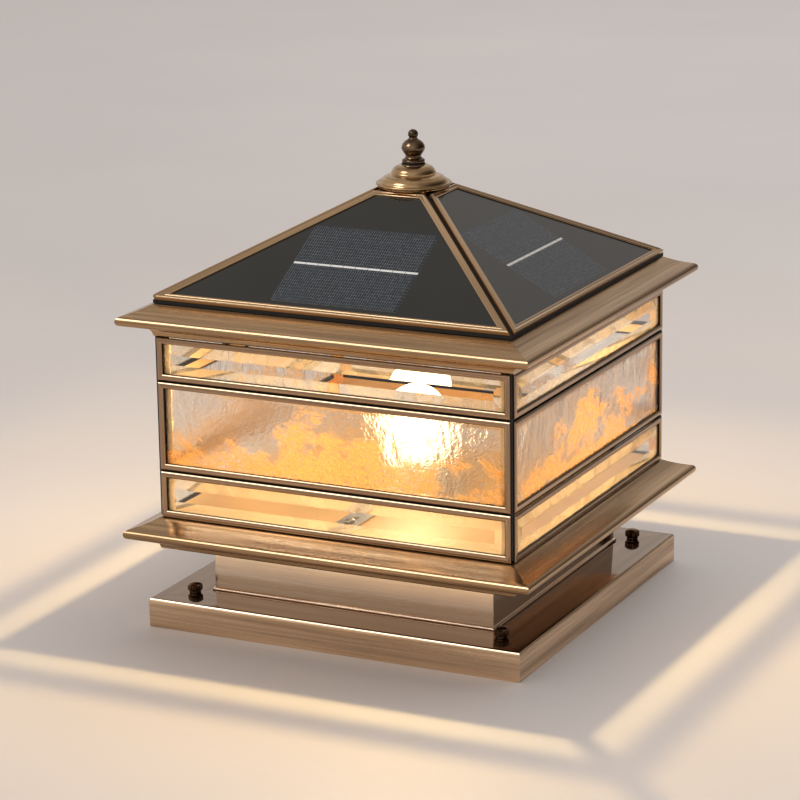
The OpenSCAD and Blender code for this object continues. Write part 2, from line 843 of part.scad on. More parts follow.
// The rod is screwed into the finial and reaches down to the bridge bar
module finial_rod() {
    color(steel)
    translate([0, 0, rod_low])
    union() {
        cylinder(h = 1, d1 = rod_d - 1.6, d2 = rod_d);
        translate([0, 0, 1])
        cylinder(h = rod_high - rod_low - 1, d = rod_d);
    }
}

mounting_plate();
mounting_studs();
base_pan();
thumb_nut_front_left();
thumb_nut_front_right();
thumb_nut_back_right();
thumb_nut_back_left();
neck_box();
lower_cornice();
floor_plate();
lamp_bracket();
lamp_holder();
bulb_cap();
bulb_globe();
bulb_filament();
inner_frame();
frame_front_low();
frame_front_mid();
frame_front_high();
frame_right_low();
frame_right_mid();
frame_right_high();
frame_back_low();
frame_back_mid();
frame_back_high();
frame_left_low();
frame_left_mid();
frame_left_high();
glass_front_low();
glass_front_mid();
glass_front_high();
glass_right_low();
glass_right_mid();
glass_right_high();
glass_back_low();
glass_back_mid();
glass_back_high();
glass_left_low();
glass_left_mid();
glass_left_high();
upper_cornice();
bridge_bar();
screws();
roof_shell();
panel_frame_front();
panel_frame_right();
panel_frame_back();
panel_frame_left();
solar_panel_front();
solar_panel_right();
solar_panel_back();
solar_panel_left();
ceiling_plate();
battery_pack();
controller_box();
power_button();
roof_cap();
cap_seal();
finial();
finial_rod();
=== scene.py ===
import bpy
import math
from mathutils import Matrix, Vector


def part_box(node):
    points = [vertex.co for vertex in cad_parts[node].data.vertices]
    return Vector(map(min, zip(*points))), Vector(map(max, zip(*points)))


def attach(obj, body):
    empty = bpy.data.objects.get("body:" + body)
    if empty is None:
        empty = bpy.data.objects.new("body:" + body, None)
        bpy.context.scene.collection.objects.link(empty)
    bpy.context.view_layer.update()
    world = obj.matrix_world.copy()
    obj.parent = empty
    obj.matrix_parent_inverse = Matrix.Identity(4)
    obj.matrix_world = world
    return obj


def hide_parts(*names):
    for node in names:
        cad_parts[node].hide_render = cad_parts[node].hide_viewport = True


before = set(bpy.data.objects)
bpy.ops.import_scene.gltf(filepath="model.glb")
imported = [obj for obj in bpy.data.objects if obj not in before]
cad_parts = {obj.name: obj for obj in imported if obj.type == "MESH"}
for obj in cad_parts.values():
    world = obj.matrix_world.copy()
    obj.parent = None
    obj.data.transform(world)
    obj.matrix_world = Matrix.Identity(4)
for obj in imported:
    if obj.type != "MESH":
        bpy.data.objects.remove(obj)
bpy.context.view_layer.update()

# Camera. It stands a little above the lamp and to the right of its front face, some two metres
# away with a long lens, and is level but for a small roll.
mm = 0.001
yaw = math.radians(26.126)
tilt = math.radians(15.285)
roll = math.radians(-0.855)
aim = Vector((0, 0, 158.4 * mm))
away = 2154.95 * mm
slide_right = -11.26 * mm
slide_up = -17.39 * mm
back = Vector((math.sin(yaw) * math.cos(tilt), -math.cos(yaw) * math.cos(tilt), math.sin(tilt)))
level_right = Vector((math.cos(yaw), math.sin(yaw), 0))
level_up = back.cross(level_right)
right = math.cos(roll) * level_right + math.sin(roll) * level_up
up = -math.sin(roll) * level_right + math.cos(roll) * level_up
place = aim + away * back + slide_right * right + slide_up * up


def add(name, data):
    """A new object in the scene."""
    thing = bpy.data.objects.new(name, data)
    bpy.context.scene.collection.objects.link(thing)
    return thing


camera = add("camera", bpy.data.cameras.new("camera"))
camera.matrix_world = Matrix.Translation(place) @ Matrix((right, up, back)).transposed().to_4x4()
camera.data.sensor_width = 36
camera.data.lens = 140.364
bpy.context.scene.camera = camera

# Key light. One large soft box high on the left gives the highlights on the rounded edges of
# the metal. It leaves out the floor, which has lights of its own.
lamp_middle = Vector((0, 0, 150 * mm))


def soft_box(name, place, size, power, colour):
    """A square soft box turned to the lamp."""
    light = bpy.data.lights.new(name, "AREA")
    light.shape = "RECTANGLE"
    light.size = size
    light.size_y = size
    light.energy = power
    light.color = colour
    box = add(name, light)
    box.location = place
    box.rotation_mode = "QUATERNION"
    box.rotation_quaternion = (lamp_middle - Vector(place)).to_track_quat("-Z", "Y")
    return box


key_light = soft_box("key_light", (-2.6, -3.0, 4.2), 2.4, 115, (0.95, 0.97, 1))

# Floor. A wide seamless sheet of matt pale paper, with soft clouds of tone so faint that they
# only keep it from looking painted.


def maths(operation):
    """A method of Thread that adds a Math node."""

    def method(self, other=0.0):
        return self.node("ShaderNodeMath", {0: self, 1: other}, operation=operation)

    return method


class Thread:
    """A socket of a node tree. Sums on it add Math nodes, node() adds any other kind."""

    def __init__(self, tree, socket=None):
        self.tree = tree
        self.socket = socket

    def node(self, kind, values=None, out=0, **settings):
        """A new node with these input values or threads; the thread of one of its outputs."""
        made = self.tree.nodes.new(kind)
        for name, setting in settings.items():
            setattr(made, name, setting)
        for name, value in (values or {}).items():
            if isinstance(value, Thread):
                self.tree.links.new(value.socket, made.inputs[name])
            else:
                made.inputs[name].default_value = value
        return Thread(self.tree, made.outputs[out] if made.outputs else None)

    def output(self, name):
        """Another output of the same node."""
        return Thread(self.tree, self.socket.node.outputs[name])

    def __rsub__(self, other):
        return self.node("ShaderNodeMath", {0: other, 1: self}, operation="SUBTRACT")

    __add__ = maths("ADD")
    __sub__ = maths("SUBTRACT")
    __mul__ = __rmul__ = maths("MULTIPLY")
    __truediv__ = maths("DIVIDE")
    __gt__ = maths("GREATER_THAN")
    __lt__ = maths("LESS_THAN")
    __abs__ = maths("ABSOLUTE")
    root = maths("SQRT")
    least = maths("MINIMUM")
    most = maths("MAXIMUM")

    def vector(self, x, y, z=0.0):
        return self.node("ShaderNodeCombineXYZ", {"X": x, "Y": y, "Z": z})

    def parts(self):
        split = self.node("ShaderNodeSeparateXYZ", {"Vector": self})
        return [split.output(axis) for axis in "XYZ"]

    def stretch(self, x, y, z):
        return self.node("ShaderNodeVectorMath", {0: self, 1: (x, y, z)}, operation="MULTIPLY")

    def noise(self, scale, detail=2.0, rough=0.5):
        values = {"Vector": self, "Scale": scale, "Detail": detail, "Roughness": rough}
        return self.node("ShaderNodeTexNoise", values)

    def spread(self, low, high, to_low=0.0, to_high=1.0):
        """The share between low and high, clamped, as a value between two others."""
        values = {"Value": self, "From Min": low, "From Max": high, "To Min": to_low, "To Max": to_high}
        return self.node("ShaderNodeMapRange", values)

    def blend(self, first, second):
        """From the first colour to the second."""
        colours = [colour if isinstance(colour, Thread) else (*colour, 1) for colour in (first, second)]
        return self.node("ShaderNodeMix", {0: self, 6: colours[0], 7: colours[1]}, 2, data_type="RGBA")

    def tint(self, first, second):
        """A noise as a drift between two colours."""
        return self.spread(0.3, 0.7).blend(first, second)

    def bump(self, distance, strength=1.0):
        return self.node("ShaderNodeBump", {"Height": self, "Distance": distance, "Strength": strength})


def paint(name):
    """A new material and a thread to build on; surface() ends it."""
    material = bpy.data.materials.new(name)
    material.use_nodes = True
    material.node_tree.nodes.clear()
    return material, Thread(material.node_tree)


def surface(thread, colour, rough, metal=0.0, bump=None, more=None):
    """Ends a material in one Principled surface with these values and any more."""
    values = {"Base Color": colour, "Roughness": rough, "Metallic": metal, **(more or {})}
    if bump:
        values["Normal"] = bump
    skin = thread.node("ShaderNodeBsdfPrincipled", values)
    thread.node("ShaderNodeOutputMaterial", {"Surface": skin})


def where(thread, name="Object"):
    """Where a point lies: its object coordinates, or the grain that a piece's UV map holds."""
    return thread.node("ShaderNodeTexCoord").output(name)


floor_half = 9.0
floor_corners = [(x * floor_half, y * floor_half, 0) for x, y in ((-1, -1), (1, -1), (1, 1), (-1, 1))]
floor_mesh = bpy.data.meshes.new("floor")
floor_mesh.from_pydata(floor_corners, [], [(0, 1, 2, 3)])
floor = add("floor", floor_mesh)
material, thread = paint("pale_paper")
cloud = where(thread).noise(1.6, 3.0)
tone = cloud.tint((0.74, 0.695, 0.69), (0.795, 0.75, 0.74))
surface(thread, tone, 0.6, more={"Specular IOR Level": 0.3})
floor_mesh.materials.append(material)

# Room. A pale warm room, lighter toward the floor and much darker behind on the right, where
# the metal's right faces mirror it and get their depth.
world = bpy.data.worlds.new("room")
bpy.context.scene.world = world
world.use_nodes = True
world.node_tree.nodes.clear()
thread = Thread(world.node_tree)
facing = where(thread, "Generated")
toward = {0: facing, 1: (0.95, 0.3, -0.1)}
right_back = thread.node("ShaderNodeVectorMath", toward, 1, operation="DOT_PRODUCT")
height = facing.parts()[2]
room = height.spread(0.35, 0.95).blend((0.66, 0.62, 0.585), (0.46, 0.42, 0.385))
room = right_back.spread(0.0, 0.8).blend(room, (0.06, 0.05, 0.043))
light = thread.node("ShaderNodeBackground", {"Color": room, "Strength": 1.1})
thread.node("ShaderNodeOutputWorld", {"Surface": light})
bpy.context.scene.view_settings.view_transform = "Standard"

# Lamplight. The warm light of the lamp inside the lantern and its bounce from the roof's tray.
# The other three light the floor alone: the bands between the bars' shadows, which fall through
# the panes, the glow round the lamp's foot, and the daylight.
bulb_low, bulb_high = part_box("bulb_globe")
bulb_middle = Vector((0, 0, bulb_high.z - bulb_high.x))
warm = (1, 0.72, 0.42)


def glow(name, height, power, colour, radius):
    """A light on the lamp's axis."""
    light = bpy.data.lights.new(name, "POINT")
    light.energy = power
    light.color = colour
    light.shadow_soft_size = radius
    source = add(name, light)
    source.location = (0, 0, height)
    return source


glow("room_glow", bulb_middle.z, 0.5, warm, 0.018)
bounce = soft_box("bounce", (0, 0, 197 * mm), 0.2, 0.2, warm)
bounce.visible_camera = False
bounce.visible_glossy = False
bounce.visible_transmission = False
floor_glow = glow("floor_glow", 222 * mm, 3.9, (1, 0.77, 0.38), 0.008)
floor_fill = soft_box("floor_fill", (1.1, 2.4, 4.0), 5.0, 82, (0.95, 0.99, 1))
floor_haze = glow("floor_haze", 450 * mm, 3.4, (1, 0.80, 0.60), 0.1)
floor_only = bpy.data.collections.new("floor_only")
floor_only.objects.link(floor)
lamp_only = bpy.data.collections.new("lamp_only")
lamp_only.objects.link(floor)
lamp_only.collection_objects[0].light_linking.link_state = "EXCLUDE"
key_light.light_linking.receiver_collection = lamp_only
lantern_walls = bpy.data.collections.new("lantern_walls")
for light in (floor_glow, floor_haze, floor_fill):
    light.light_linking.receiver_collection = floor_only
floor_glow.light_linking.blocker_collection = lantern_walls

# Mounting plate and studs. The plate is cut from steel sheet and zinc plated, and four threaded
# studs are pressed into its corners; it is bolted to the pier and the pan is lowered over it.


def make(name, points, faces, grain=None, sharp=32):
    """An object from points and faces, smooth but for edges sharper than an angle."""
    mesh = bpy.data.meshes.new(name)
    mesh.from_pydata(points, [], faces)
    if grain:
        layer = mesh.uv_layers.new(name="grain")
        layer.data.foreach_set("uv", [value for pair in grain for value in pair])
    mesh.polygons.foreach_set("use_smooth", [True] * len(faces))
    mesh.set_sharp_from_angle(angle=math.radians(sharp))
    return add(name, mesh)


def arc(x, y, wide, tall, start, end, steps):
    """Points of a round in a section, in degrees."""
    turns = [math.radians(start + (end - start) * i / steps) for i in range(steps + 1)]
    return [(x + wide * math.cos(a), y + tall * math.sin(a)) for a in turns]


def around(across, height, *points):
    """Points of an outline, given in mm from one spot."""
    return [(across + x * mm, height + y * mm) for x, y in points]


def lathe(name, outline, rounds=64, wave=None, middles=((0, 0),), sharp=32):
    """Bodies turned around Z from an outline (radius, height); wave(angle, height) moves a radius."""
    points = []
    faces = []
    axis = 1e-7
    for middle in middles:
        starts = []
        for radius, height in outline:
            starts.append(len(points))
            if radius < axis:
                points.append((*middle, height))
                continue
            for i in range(rounds):
                angle = 2 * math.pi * i / rounds
                wide = radius + (wave(angle, height) if wave else 0)
                x = middle[0] + wide * math.cos(angle)
                y = middle[1] + wide * math.sin(angle)
                points.append((x, y, height))
        closed = outline[0][0] > axis and outline[-1][0] > axis
        for k in range(len(outline) - (0 if closed else 1)):
            m = (k + 1) % len(outline)
            a, b = starts[k], starts[m]
            for i in range(0 if outline[k][0] + outline[m][0] < axis else rounds):
                j = (i + 1) % rounds
                if outline[k][0] < axis:
                    faces.append((a, b + j, b + i))
                elif outline[m][0] < axis:
                    faces.append((a + i, a + j, b))
                else:
                    faces.append((a + i, a + j, b + j, b + i))
    return make(name, points, faces, None, sharp)


def dress(piece, material, body, slot, *nodes):
    """Gives a finished piece its material, its body and the nodes it stands for. Its slot is not used."""
    piece.data.materials.clear()
    piece.data.materials.append(material)
    if nodes:
        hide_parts(*nodes)
    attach(piece, body)
    if body == "housing":
        lantern_walls.objects.link(piece)


def repaint(node, material):
    """Gives a carried-over CAD node its material."""
    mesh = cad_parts[node].data
    mesh.materials.clear()
    mesh.materials.append(material)


zinc_steel, thread = paint("zinc_steel")
spangle = thread.node("ShaderNodeTexVoronoi", {"Vector": where(thread), "Scale": 160.0}, 1)
grey = thread.node("ShaderNodeRGBToBW", {0: spangle})
zinc = grey.blend((0.60, 0.60, 0.59), (0.72, 0.72, 0.70))
surface(thread, zinc, grey.spread(0, 1, 0.26, 0.4), 1.0)
repaint("mounting_plate", zinc_steel)

stud_low, stud_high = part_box("mounting_studs")
stud_foot = 4 * mm
stud_at = stud_high.x - stud_foot
stud_radius = 2.5 * mm
corners = [(-stud_at, -stud_at), (stud_at, -stud_at), (stud_at, stud_at), (-stud_at, stud_at)]


def helix(pitch, depth, low, high):
    """A wave for lathe(): the depth of a screw thread below its crest, between two heights."""

    def wave(angle, height):
        turn = (height / pitch - angle / (2 * math.pi)) % 1
        return -depth * abs(2 * turn - 1) if low < height < high else 0

    return wave


threaded = stud_high.z - stud_low.z - 1.9 * mm
stud_rings = 90
outline = [(0, stud_low.z)] + around(stud_foot, stud_low.z, (-0.2, 0), (0, 0.2), (0, 1.0))
outline += [(stud_radius, stud_low.z + 1.05 * mm)]
outline += [(stud_radius, stud_low.z + 1.2 * mm + threaded * i / stud_rings) for i in range(stud_rings + 1)]
outline += [(stud_radius - 0.6 * mm, stud_high.z), (0, stud_high.z)]
stud_thread = helix(0.8 * mm, 0.4 * mm, stud_low.z + 3 * mm, stud_high.z - 0.9 * mm)
studs = lathe("mounting_studs_skin", outline, 24, stud_thread, corners)
dress(studs, zinc_steel, "housing", "zinc_steel", "mounting_studs")

# Base pan. Folded from one sheet of brass, aged brown and lacquered: its sides keep the
# long strokes of the brush, its top is polished and mirrors the neck, and is painted much darker than the
# sides as painted shade. It lies over the plate.


def box_plan(x, y):
    """The four corners of a rectangle of these half sides."""
    return [Vector((-x, -y)), Vector((x, -y)), Vector((x, y)), Vector((-x, y))]


def corner_moves(plan):
    """How far each corner moves when the plan's sides move out by one."""
    moves = []
    for i, corner in enumerate(plan):
        before = (corner - plan[i - 1]).normalized()
        after = (plan[(i + 1) % len(plan)] - corner).normalized()
        first = Vector((before.y, -before.x))
        second = Vector((after.y, -after.x))
        moves.append((first + second) / (1 + first.dot(second)))
    return moves


def mitred(name, plan, section, place=Matrix.Identity(4), sharp=32):
    """A section (out, up) carried around a plan with mitred corners. The grain runs along it."""
    moves = corner_moves(plan)
    count = len(section)
    side_shift = 0.37
    points = []
    for corner, move in zip(plan, moves):
        points += [place @ Vector((*(corner + out * move), height)) for out, height in section]
    lengths = [0]
    for a, b in zip(section, section[1:] + section[:1]):
        lengths.append(lengths[-1] + math.dist(a, b))
    faces = []
    grain = []
    for i in range(len(plan)):
        j = (i + 1) % len(plan)
        along = (plan[j] - plan[i]).normalized()
        for k in range(count):
            m = (k + 1) % count
            faces.append((j * count + k, j * count + m, i * count + m, i * count + k))
            for corner, at, length in ((j, k, k), (j, m, k + 1), (i, m, k + 1), (i, k, k)):
                spot = plan[corner] + section[at][0] * moves[corner]
                grain.append((spot.dot(along) + side_shift * i, lengths[length]))
    return make(name, points, faces, grain, sharp)


def strokes_along(thread):
    """The brush's strokes along a piece's grain: hair lines, the relief of hair lines and broader
    strokes, brown bands, and the age that they add up to."""
    grain = where(thread, "UV")
    hair = grain.stretch(14, 2600, 1).noise(1.0, 3.0, 0.6)
    stroke = grain.stretch(5, 420, 1).noise(1.0, 3.0, 0.62)
    band = grain.stretch(3.5, 110, 1).noise(1.0, 2.0)
    age = (0.25 * hair + 0.35 * stroke + 0.4 * band).spread(0.36, 0.64)
    return hair, 0.6 * hair + 0.4 * stroke, band, age


def brushed(name, light, dark, rough, depth=0.5, lit_face=None):
    """Brushed and aged metal. Outside a face, which is given by its start and end along the
    section, it is painted near-black: painted shade on the sides that the light doesn't reach."""
    material, thread = paint(name)
    hair, relief, _, age = strokes_along(thread)
    colour = (age * depth * 2).least(1).blend(light, dark)
    if lit_face:
        across = where(thread, "UV").parts()[1]
        edge = (across - lit_face[0]).least(lit_face[1] - across)
        # Off the lit face the colour turns near-black: painted shade.
        colour = edge.spread(0, 0.5 * mm).blend((0.02, 0.014, 0.01), colour)
    dull = hair.spread(0.3, 0.7, rough - 0.05, rough + 0.1)
    lacquer = {"Coat Weight": 0.12, "Coat Roughness": 0.18}
    surface(thread, colour, dull, 1.0, relief.bump(0.00004, 0.35), lacquer)
    return material


aged_brass = brushed("aged_brass", (0.62, 0.415, 0.23), (0.22, 0.125, 0.06), rough=0.2)
pan_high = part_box("base_pan")[1]
pan_half = pan_high.x
pan_top = pan_high.z
sheet = 1.5 * mm
pan_bend = 2.2 * mm
pan_window = 90 * mm
pan_section = (
    [(-sheet, 0), (-0.3 * mm, 0), (0, 0.3 * mm)]
    + arc(-pan_bend, pan_top - pan_bend, pan_bend, pan_bend, 0, 90, 10)
    + [(pan_window - pan_half, pan_top), (pan_window - pan_half, pan_top - sheet)]
    + arc(-pan_bend, pan_top - pan_bend, pan_bend - sheet, pan_bend - sheet, 90, 0, 4)
)
pan = mitred("base_pan_skin", box_plan(pan_half, pan_half), pan_section)

material, thread = paint("aged_brass_pan")
x, y, z = where(thread).parts()
hair, relief, band, age = strokes_along(thread)
polished_top_with_painted_shade = z > pan_top - 0.4 * mm
seam_half = 0.16 * mm
side_colour = age.blend((1.0, 0.73, 0.49), (0.34, 0.22, 0.13))
# The polished top is painted far darker than the sides: painted shade.
painted_shade_top_colour = band.tint((0.30, 0.205, 0.14), (0.205, 0.135, 0.09))
seam = (abs(abs(x) - abs(y)) < seam_half) * polished_top_with_painted_shade
colour = seam.blend(polished_top_with_painted_shade.blend(side_colour, painted_shade_top_colour), (0.05, 0.03, 0.02))
rough = hair.spread(0.3, 0.7, 0.2, 0.36) * (1 - polished_top_with_painted_shade) + 0.07 * polished_top_with_painted_shade
surface(thread, colour, rough, 1.0, ((1 - polished_top_with_painted_shade) * relief).bump(0.00004, 0.35))
dress(pan, material, "housing", "aged_brass", "base_pan")

# Thumb nuts. Turned bronze, knurled in flutes round the grip, domed on top and waisted below,
# run down on the studs that hold the pan.
flutes = 20


def turned(name, light, dark, rough, rings=900, spots=120):
    """Turned or cast metal: faint rings round the axis and cloudy patina."""
    material, thread = paint(name)
    place = where(thread)
    x, y, z = place.parts()
    radius = (x * x + y * y).root()
    ring = thread.vector(radius * rings, z * rings).noise(1.0, 2.0)
    cloud = place.noise(spots, 4.0, 0.6)
    age = (0.35 * ring + 0.65 * cloud).spread(0.38, 0.62)
    dull = age.spread(0, 1, rough, rough + 0.14)
    surface(thread, age.blend(light, dark), dull, 1.0, ring.bump(0.00003, 0.25))
    return material


dark_bronze = turned("dark_bronze", (0.24, 0.155, 0.095), (0.05, 0.032, 0.02), 0.15)
for corner in ("front_left", "front_right", "back_right", "back_left"):
    low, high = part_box("thumb_nut_" + corner)
    middle = (low + high) / 2
    grip = (high.x - low.x) / 2 - 0.05 * mm
    outline = around(0, low.z, (2.8, 0), (3.9, 0), (4.1, 0.25), (4.1, 1.1))
    outline += around(grip, low.z, (-0.6, 1.7), (-0.1, 2.0), (0, 2.3), (0, 3.5))
    outline += around(grip, high.z, (0, -1.9))
    outline += arc(0, high.z - 2.1 * mm, grip - 0.25 * mm, 2.1 * mm, 14, 90, 8)[:-1]
    outline += around(0, high.z, (0, 0), (0, -1.4), (2.8, -1.4))

    def flute(angle, height):
        gripped = low.z + 1.5 * mm < height < high.z - 1.0 * mm
        return -0.5 * mm * max(0, math.cos(flutes * angle)) ** 2 if gripped else 0

    nut = lathe("thumb_nut_skin_" + corner, outline, flutes * 8, flute, [(middle.x, middle.y)])
    dress(nut, dark_bronze, "nut_" + corner, "dark_bronze", "thumb_nut_" + corner)

# Neck. A box of polished bronze sheet with a rolled bead at its foot, screwed to the pan
# and to the cornice from inside by its turned-in flanges.
neck_low, neck_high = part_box("neck_box")
bead = 1.7 * mm
neck_half = neck_high.x - bead
flange = 92 * mm - neck_half
neck_section = (
    [(flange, neck_low.z)]
    + arc(bead - 0.9 * mm, neck_low.z + 0.9 * mm, 0.9 * mm, 0.9 * mm, -90, 90, 10)
    + around(0, neck_low.z, (0.3, 1.9), (0, 2.3))
    + [(0, neck_high.z)]
    + [(flange, neck_high.z), (flange, neck_high.z - sheet), (-sheet, neck_high.z - sheet)]
    + [(-sheet, neck_low.z + sheet), (flange, neck_low.z + sheet)]
)
neck = mitred("neck_skin", box_plan(neck_half, neck_half), neck_section)
neck_metal = brushed("polished_bronze", (1.0, 0.85, 0.67), (0.78, 0.57, 0.41), rough=0.13, depth=0.42)
dress(neck, neck_metal, "housing", "dark_bronze", "neck_box")

# Cornices. One formed strip, mitred and soldered at the corners: a cove below, a round nose
# and a long slope above. The lower one carries the lantern, the upper one the roof.
glass_half = 132 * mm
strip_tall = 22.2 * mm
nose = 3.3 * mm
nose_rise = 12 * mm
wall = 1.4 * mm
ledge_out = -5 * mm


def cornice_section(low, high, low_flange, high_flange):
    """The strip's section from its lower flange over the nose to its upper flange and back."""
    tall = strip_tall
    ledge = high.z - low.z
    nose_x = high.x - nose - glass_half
    edge = -1.4 * mm
    cove = nose_x - edge - 0.9 * mm
    rise = nose_rise - nose - 0.7 * mm
    tip = (nose_x + nose * math.cos(math.radians(72)), nose_rise + nose * math.sin(math.radians(72)))
    slope = []
    for step in range(1, 12):
        share = step / 12
        sag = math.sin(math.pi * share)
        slope.append((
            tip[0] + (edge - tip[0]) * share - 0.28 * mm * sag,
            tip[1] + (tall - tip[1]) * share - 0.5 * mm * sag,
        ))
    section = [(low_flange - glass_half, 0), (-1 * mm, 0)]
    section += arc(nose_x, 0.7 * mm, cove, rise, 180, 90, 18)
    section += arc(nose_x, nose_rise, nose, nose, -84, 72, 20)
    section += slope
    section += [(edge, tall)]
    if low_flange < high_flange:
        section += [(ledge_out, tall), (ledge_out, ledge)]
        tall = ledge
    section += [(high_flange - glass_half, tall), (high_flange - glass_half, tall - wall)]
    section += [(ledge_out - wall, tall - wall), (ledge_out - wall, strip_tall - wall)]
    section += arc(nose_x, nose_rise, nose - wall, nose - wall, 60, -90, 6)
    section += arc(nose_x, 0.7 * mm, cove + wall, rise + wall, 95, 172, 8)
    section += [(-1.6 * mm, wall), (low_flange - glass_half, wall)]
    return [(out, low.z + height) for out, height in section]


flanges = {"lower_cornice": (95 * mm, 122 * mm), "upper_cornice": (121 * mm, 118 * mm)}
for name, (low_flange, high_flange) in flanges.items():
    low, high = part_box(name)
    section = cornice_section(low, high, low_flange, high_flange)
    strip = mitred(name + "_skin", box_plan(glass_half, glass_half), section, sharp=18)
    dress(strip, aged_brass, "housing", "aged_brass", name)

# Lamp room floor. A plate of polished brass laid on the cornice's ledge, with a hole for the
# lamp holder; it throws the light back up as gold, and is painted dark round the holder, fading outward, as
# painted shade that evens out the lamp's strong light close by.
material, thread = paint("bright_brass")
place = where(thread)
x, y, z = place.parts()
drift = place.noise(14, 3.0)
scratch = thread.vector(x * 30, y * 900).noise(1.0, 2.0)
polish = drift.tint((0.92, 0.60, 0.26), (0.78, 0.48, 0.19))
# Darkest round the holder and fading outward: painted shade against the lamp's light close by.
painted_centre_shade = (x * x + y * y).root().spread(25 * mm, 125 * mm)
colour = painted_centre_shade.blend((0.06, 0.036, 0.016), polish)
surface(thread, colour, scratch.spread(0.3, 0.7, 0.48, 0.62), 0.12, drift.bump(0.003, 0.2))
repaint("floor_plate", material)

# Lamp bracket and holder. A zinc plated strap with a ring and two slots, screwed to the floor,
# carries the lamp holder of white glazed porcelain.
repaint("lamp_bracket", zinc_steel)
holder_low, holder_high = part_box("lamp_holder")
strap_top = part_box("lamp_bracket")[1].z
holder = 17 * mm
flange_out = holder_high.x
bore = 13.45 * mm
wire_way = 4 * mm
socket_floor = holder_low.z + 8.7 * mm
outline = [(wire_way, holder_low.z), (holder - 1.6 * mm, holder_low.z)]
outline += arc(holder - 1.4 * mm, holder_low.z + 1.4 * mm, 1.4 * mm, 1.4 * mm, -80, 0, 5)
outline += around(holder, strap_top, (0, 0.05)) + around(flange_out, strap_top, (-1, 0.05))
outline += arc(flange_out - 1.2 * mm, strap_top + 1.4 * mm, 1.2 * mm, 1.3 * mm, -75, 85, 8)
outline += around(holder, strap_top, (2.2, 3.1), (1.2, 3.5), (0.6, 4.6))
outline += around(holder, holder_high.z, (0.25, -1.7))
outline += arc(holder - 1 * mm, holder_high.z - 1.3 * mm, 1.2 * mm, 1.2 * mm, 5, 88, 6)
outline += around(bore, holder_high.z, (0.7, 0), (0, -0.7))
outline += [(bore, socket_floor), (wire_way, socket_floor)]
piece = lathe("lamp_holder_skin", outline)


def clouded(name, scale, detail, first, second, rough, relief=None):
    """A material that drifts between two colours and two roughnesses in clouds of one size."""
    material, thread = paint(name)
    cloud = where(thread).noise(scale, detail)
    bump = cloud.bump(*relief) if relief else None
    surface(thread, cloud.tint(first, second), cloud.spread(0.3, 0.7, *rough), 0.0, bump)
    return material


porcelain = clouded(
    "porcelain", 70, 3.0, (0.82, 0.80, 0.75), (0.76, 0.73, 0.67), (0.12, 0.2), (0.0002, 0.2))
dress(piece, porcelain, "housing", "porcelain", "lamp_holder")

# Bulb cap. Pressed nickel plated shell with the rolled thread of a standard screw cap,
# a black glass button below and the solder contact in its middle.
cap_low, cap_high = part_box("bulb_cap")
crest = cap_high.x
roll = 3.3 * mm
shell_low = cap_low.z + 4.3 * mm
shell_high = cap_high.z - 0.3 * mm


def rolled(angle, height):
    """Depth of the rolled thread below its crest."""
    turn = height / roll - angle / (2 * math.pi)
    fade = min(1, max(0, (height - shell_low) / mm), max(0, (shell_high - height) / mm))
    return -0.45 * mm * (1 + math.cos(2 * math.pi * turn)) * fade


contact = 4.9 * mm
insulator_edge = 11.3 * mm
cap_rings = 60
outline = around(0, cap_low.z, (0, 0), (3.6, 0), (4.5, 0.25)) + [(contact, cap_low.z + 0.9 * mm)]
outline += around(0, cap_low.z, (5.6, 1.1), (8, 2.2), (11.2, 3.8)) + [(crest - 0.9 * mm, shell_low)]
outline += [(crest, shell_low + (shell_high - shell_low) * i / cap_rings) for i in range(1, cap_rings)]
outline += [(crest - 0.9 * mm, shell_high), (crest - 1.2 * mm, cap_high.z), (0, cap_high.z)]
piece = lathe("bulb_cap_skin", outline, 64, rolled)
nickel_steel, thread = paint("nickel_steel")
place = where(thread)
x, y, z = place.parts()
wear = place.noise(260, 3.0)
off_axis = x * x + y * y
insulator = (off_axis > (contact + 0.05 * mm) ** 2) * (off_axis < insulator_edge**2)
insulator = insulator * (z < shell_low - 0.3 * mm) * (z > cap_low.z - mm)
nickel = wear.tint((0.70, 0.67, 0.62), (0.60, 0.57, 0.52))
colour = insulator.blend(nickel, (0.02, 0.02, 0.025))
surface(thread, colour, wear.spread(0.3, 0.7, 0.2, 0.34), 1 - insulator)
dress(piece, nickel_steel, "bulb", "nickel_steel", "bulb_cap")

# Bulb globe and filaments. The globe is blown glass with a warm white coat inside, so it glows
# all over; four light filaments stand round a wire on the stem within.
glass_wall = 0.8 * mm
globe_radius = bulb_high.x
globe_inside = globe_radius - glass_wall
throat = 12.5 * mm
foot = bulb_low.z
outline = [(throat - glass_wall, foot)] + around(throat, foot, (0, 0), (0, 2.9), (0.2, 5), (0.6, 6.6))
outline += arc(0, bulb_middle.z, globe_radius, globe_radius, -50, 90, 28)[:-1]
outline += [(0, bulb_high.z), (0, bulb_high.z - glass_wall)]
outline += arc(0, bulb_middle.z, globe_inside, globe_inside, 90, -50, 28)[1:]
outline += [(throat - 0.2 * mm, foot + 7.1 * mm), (throat - glass_wall, foot + 3.1 * mm)]
globe = lathe("bulb_globe_skin", outline)


def open_to_shadows(thread, body, tint):
    """Ends a material that lets the lamp's light out, in a tint, instead of casting a shadow."""
    open_way = thread.node("ShaderNodeBsdfTransparent", {"Color": (*tint, 1)})
    is_shadow = thread.node("ShaderNodeLightPath").output("Is Shadow Ray")
    mixed = thread.node("ShaderNodeMixShader", {0: is_shadow, 1: body, 2: open_way})
    thread.node("ShaderNodeOutputMaterial", {"Surface": mixed})


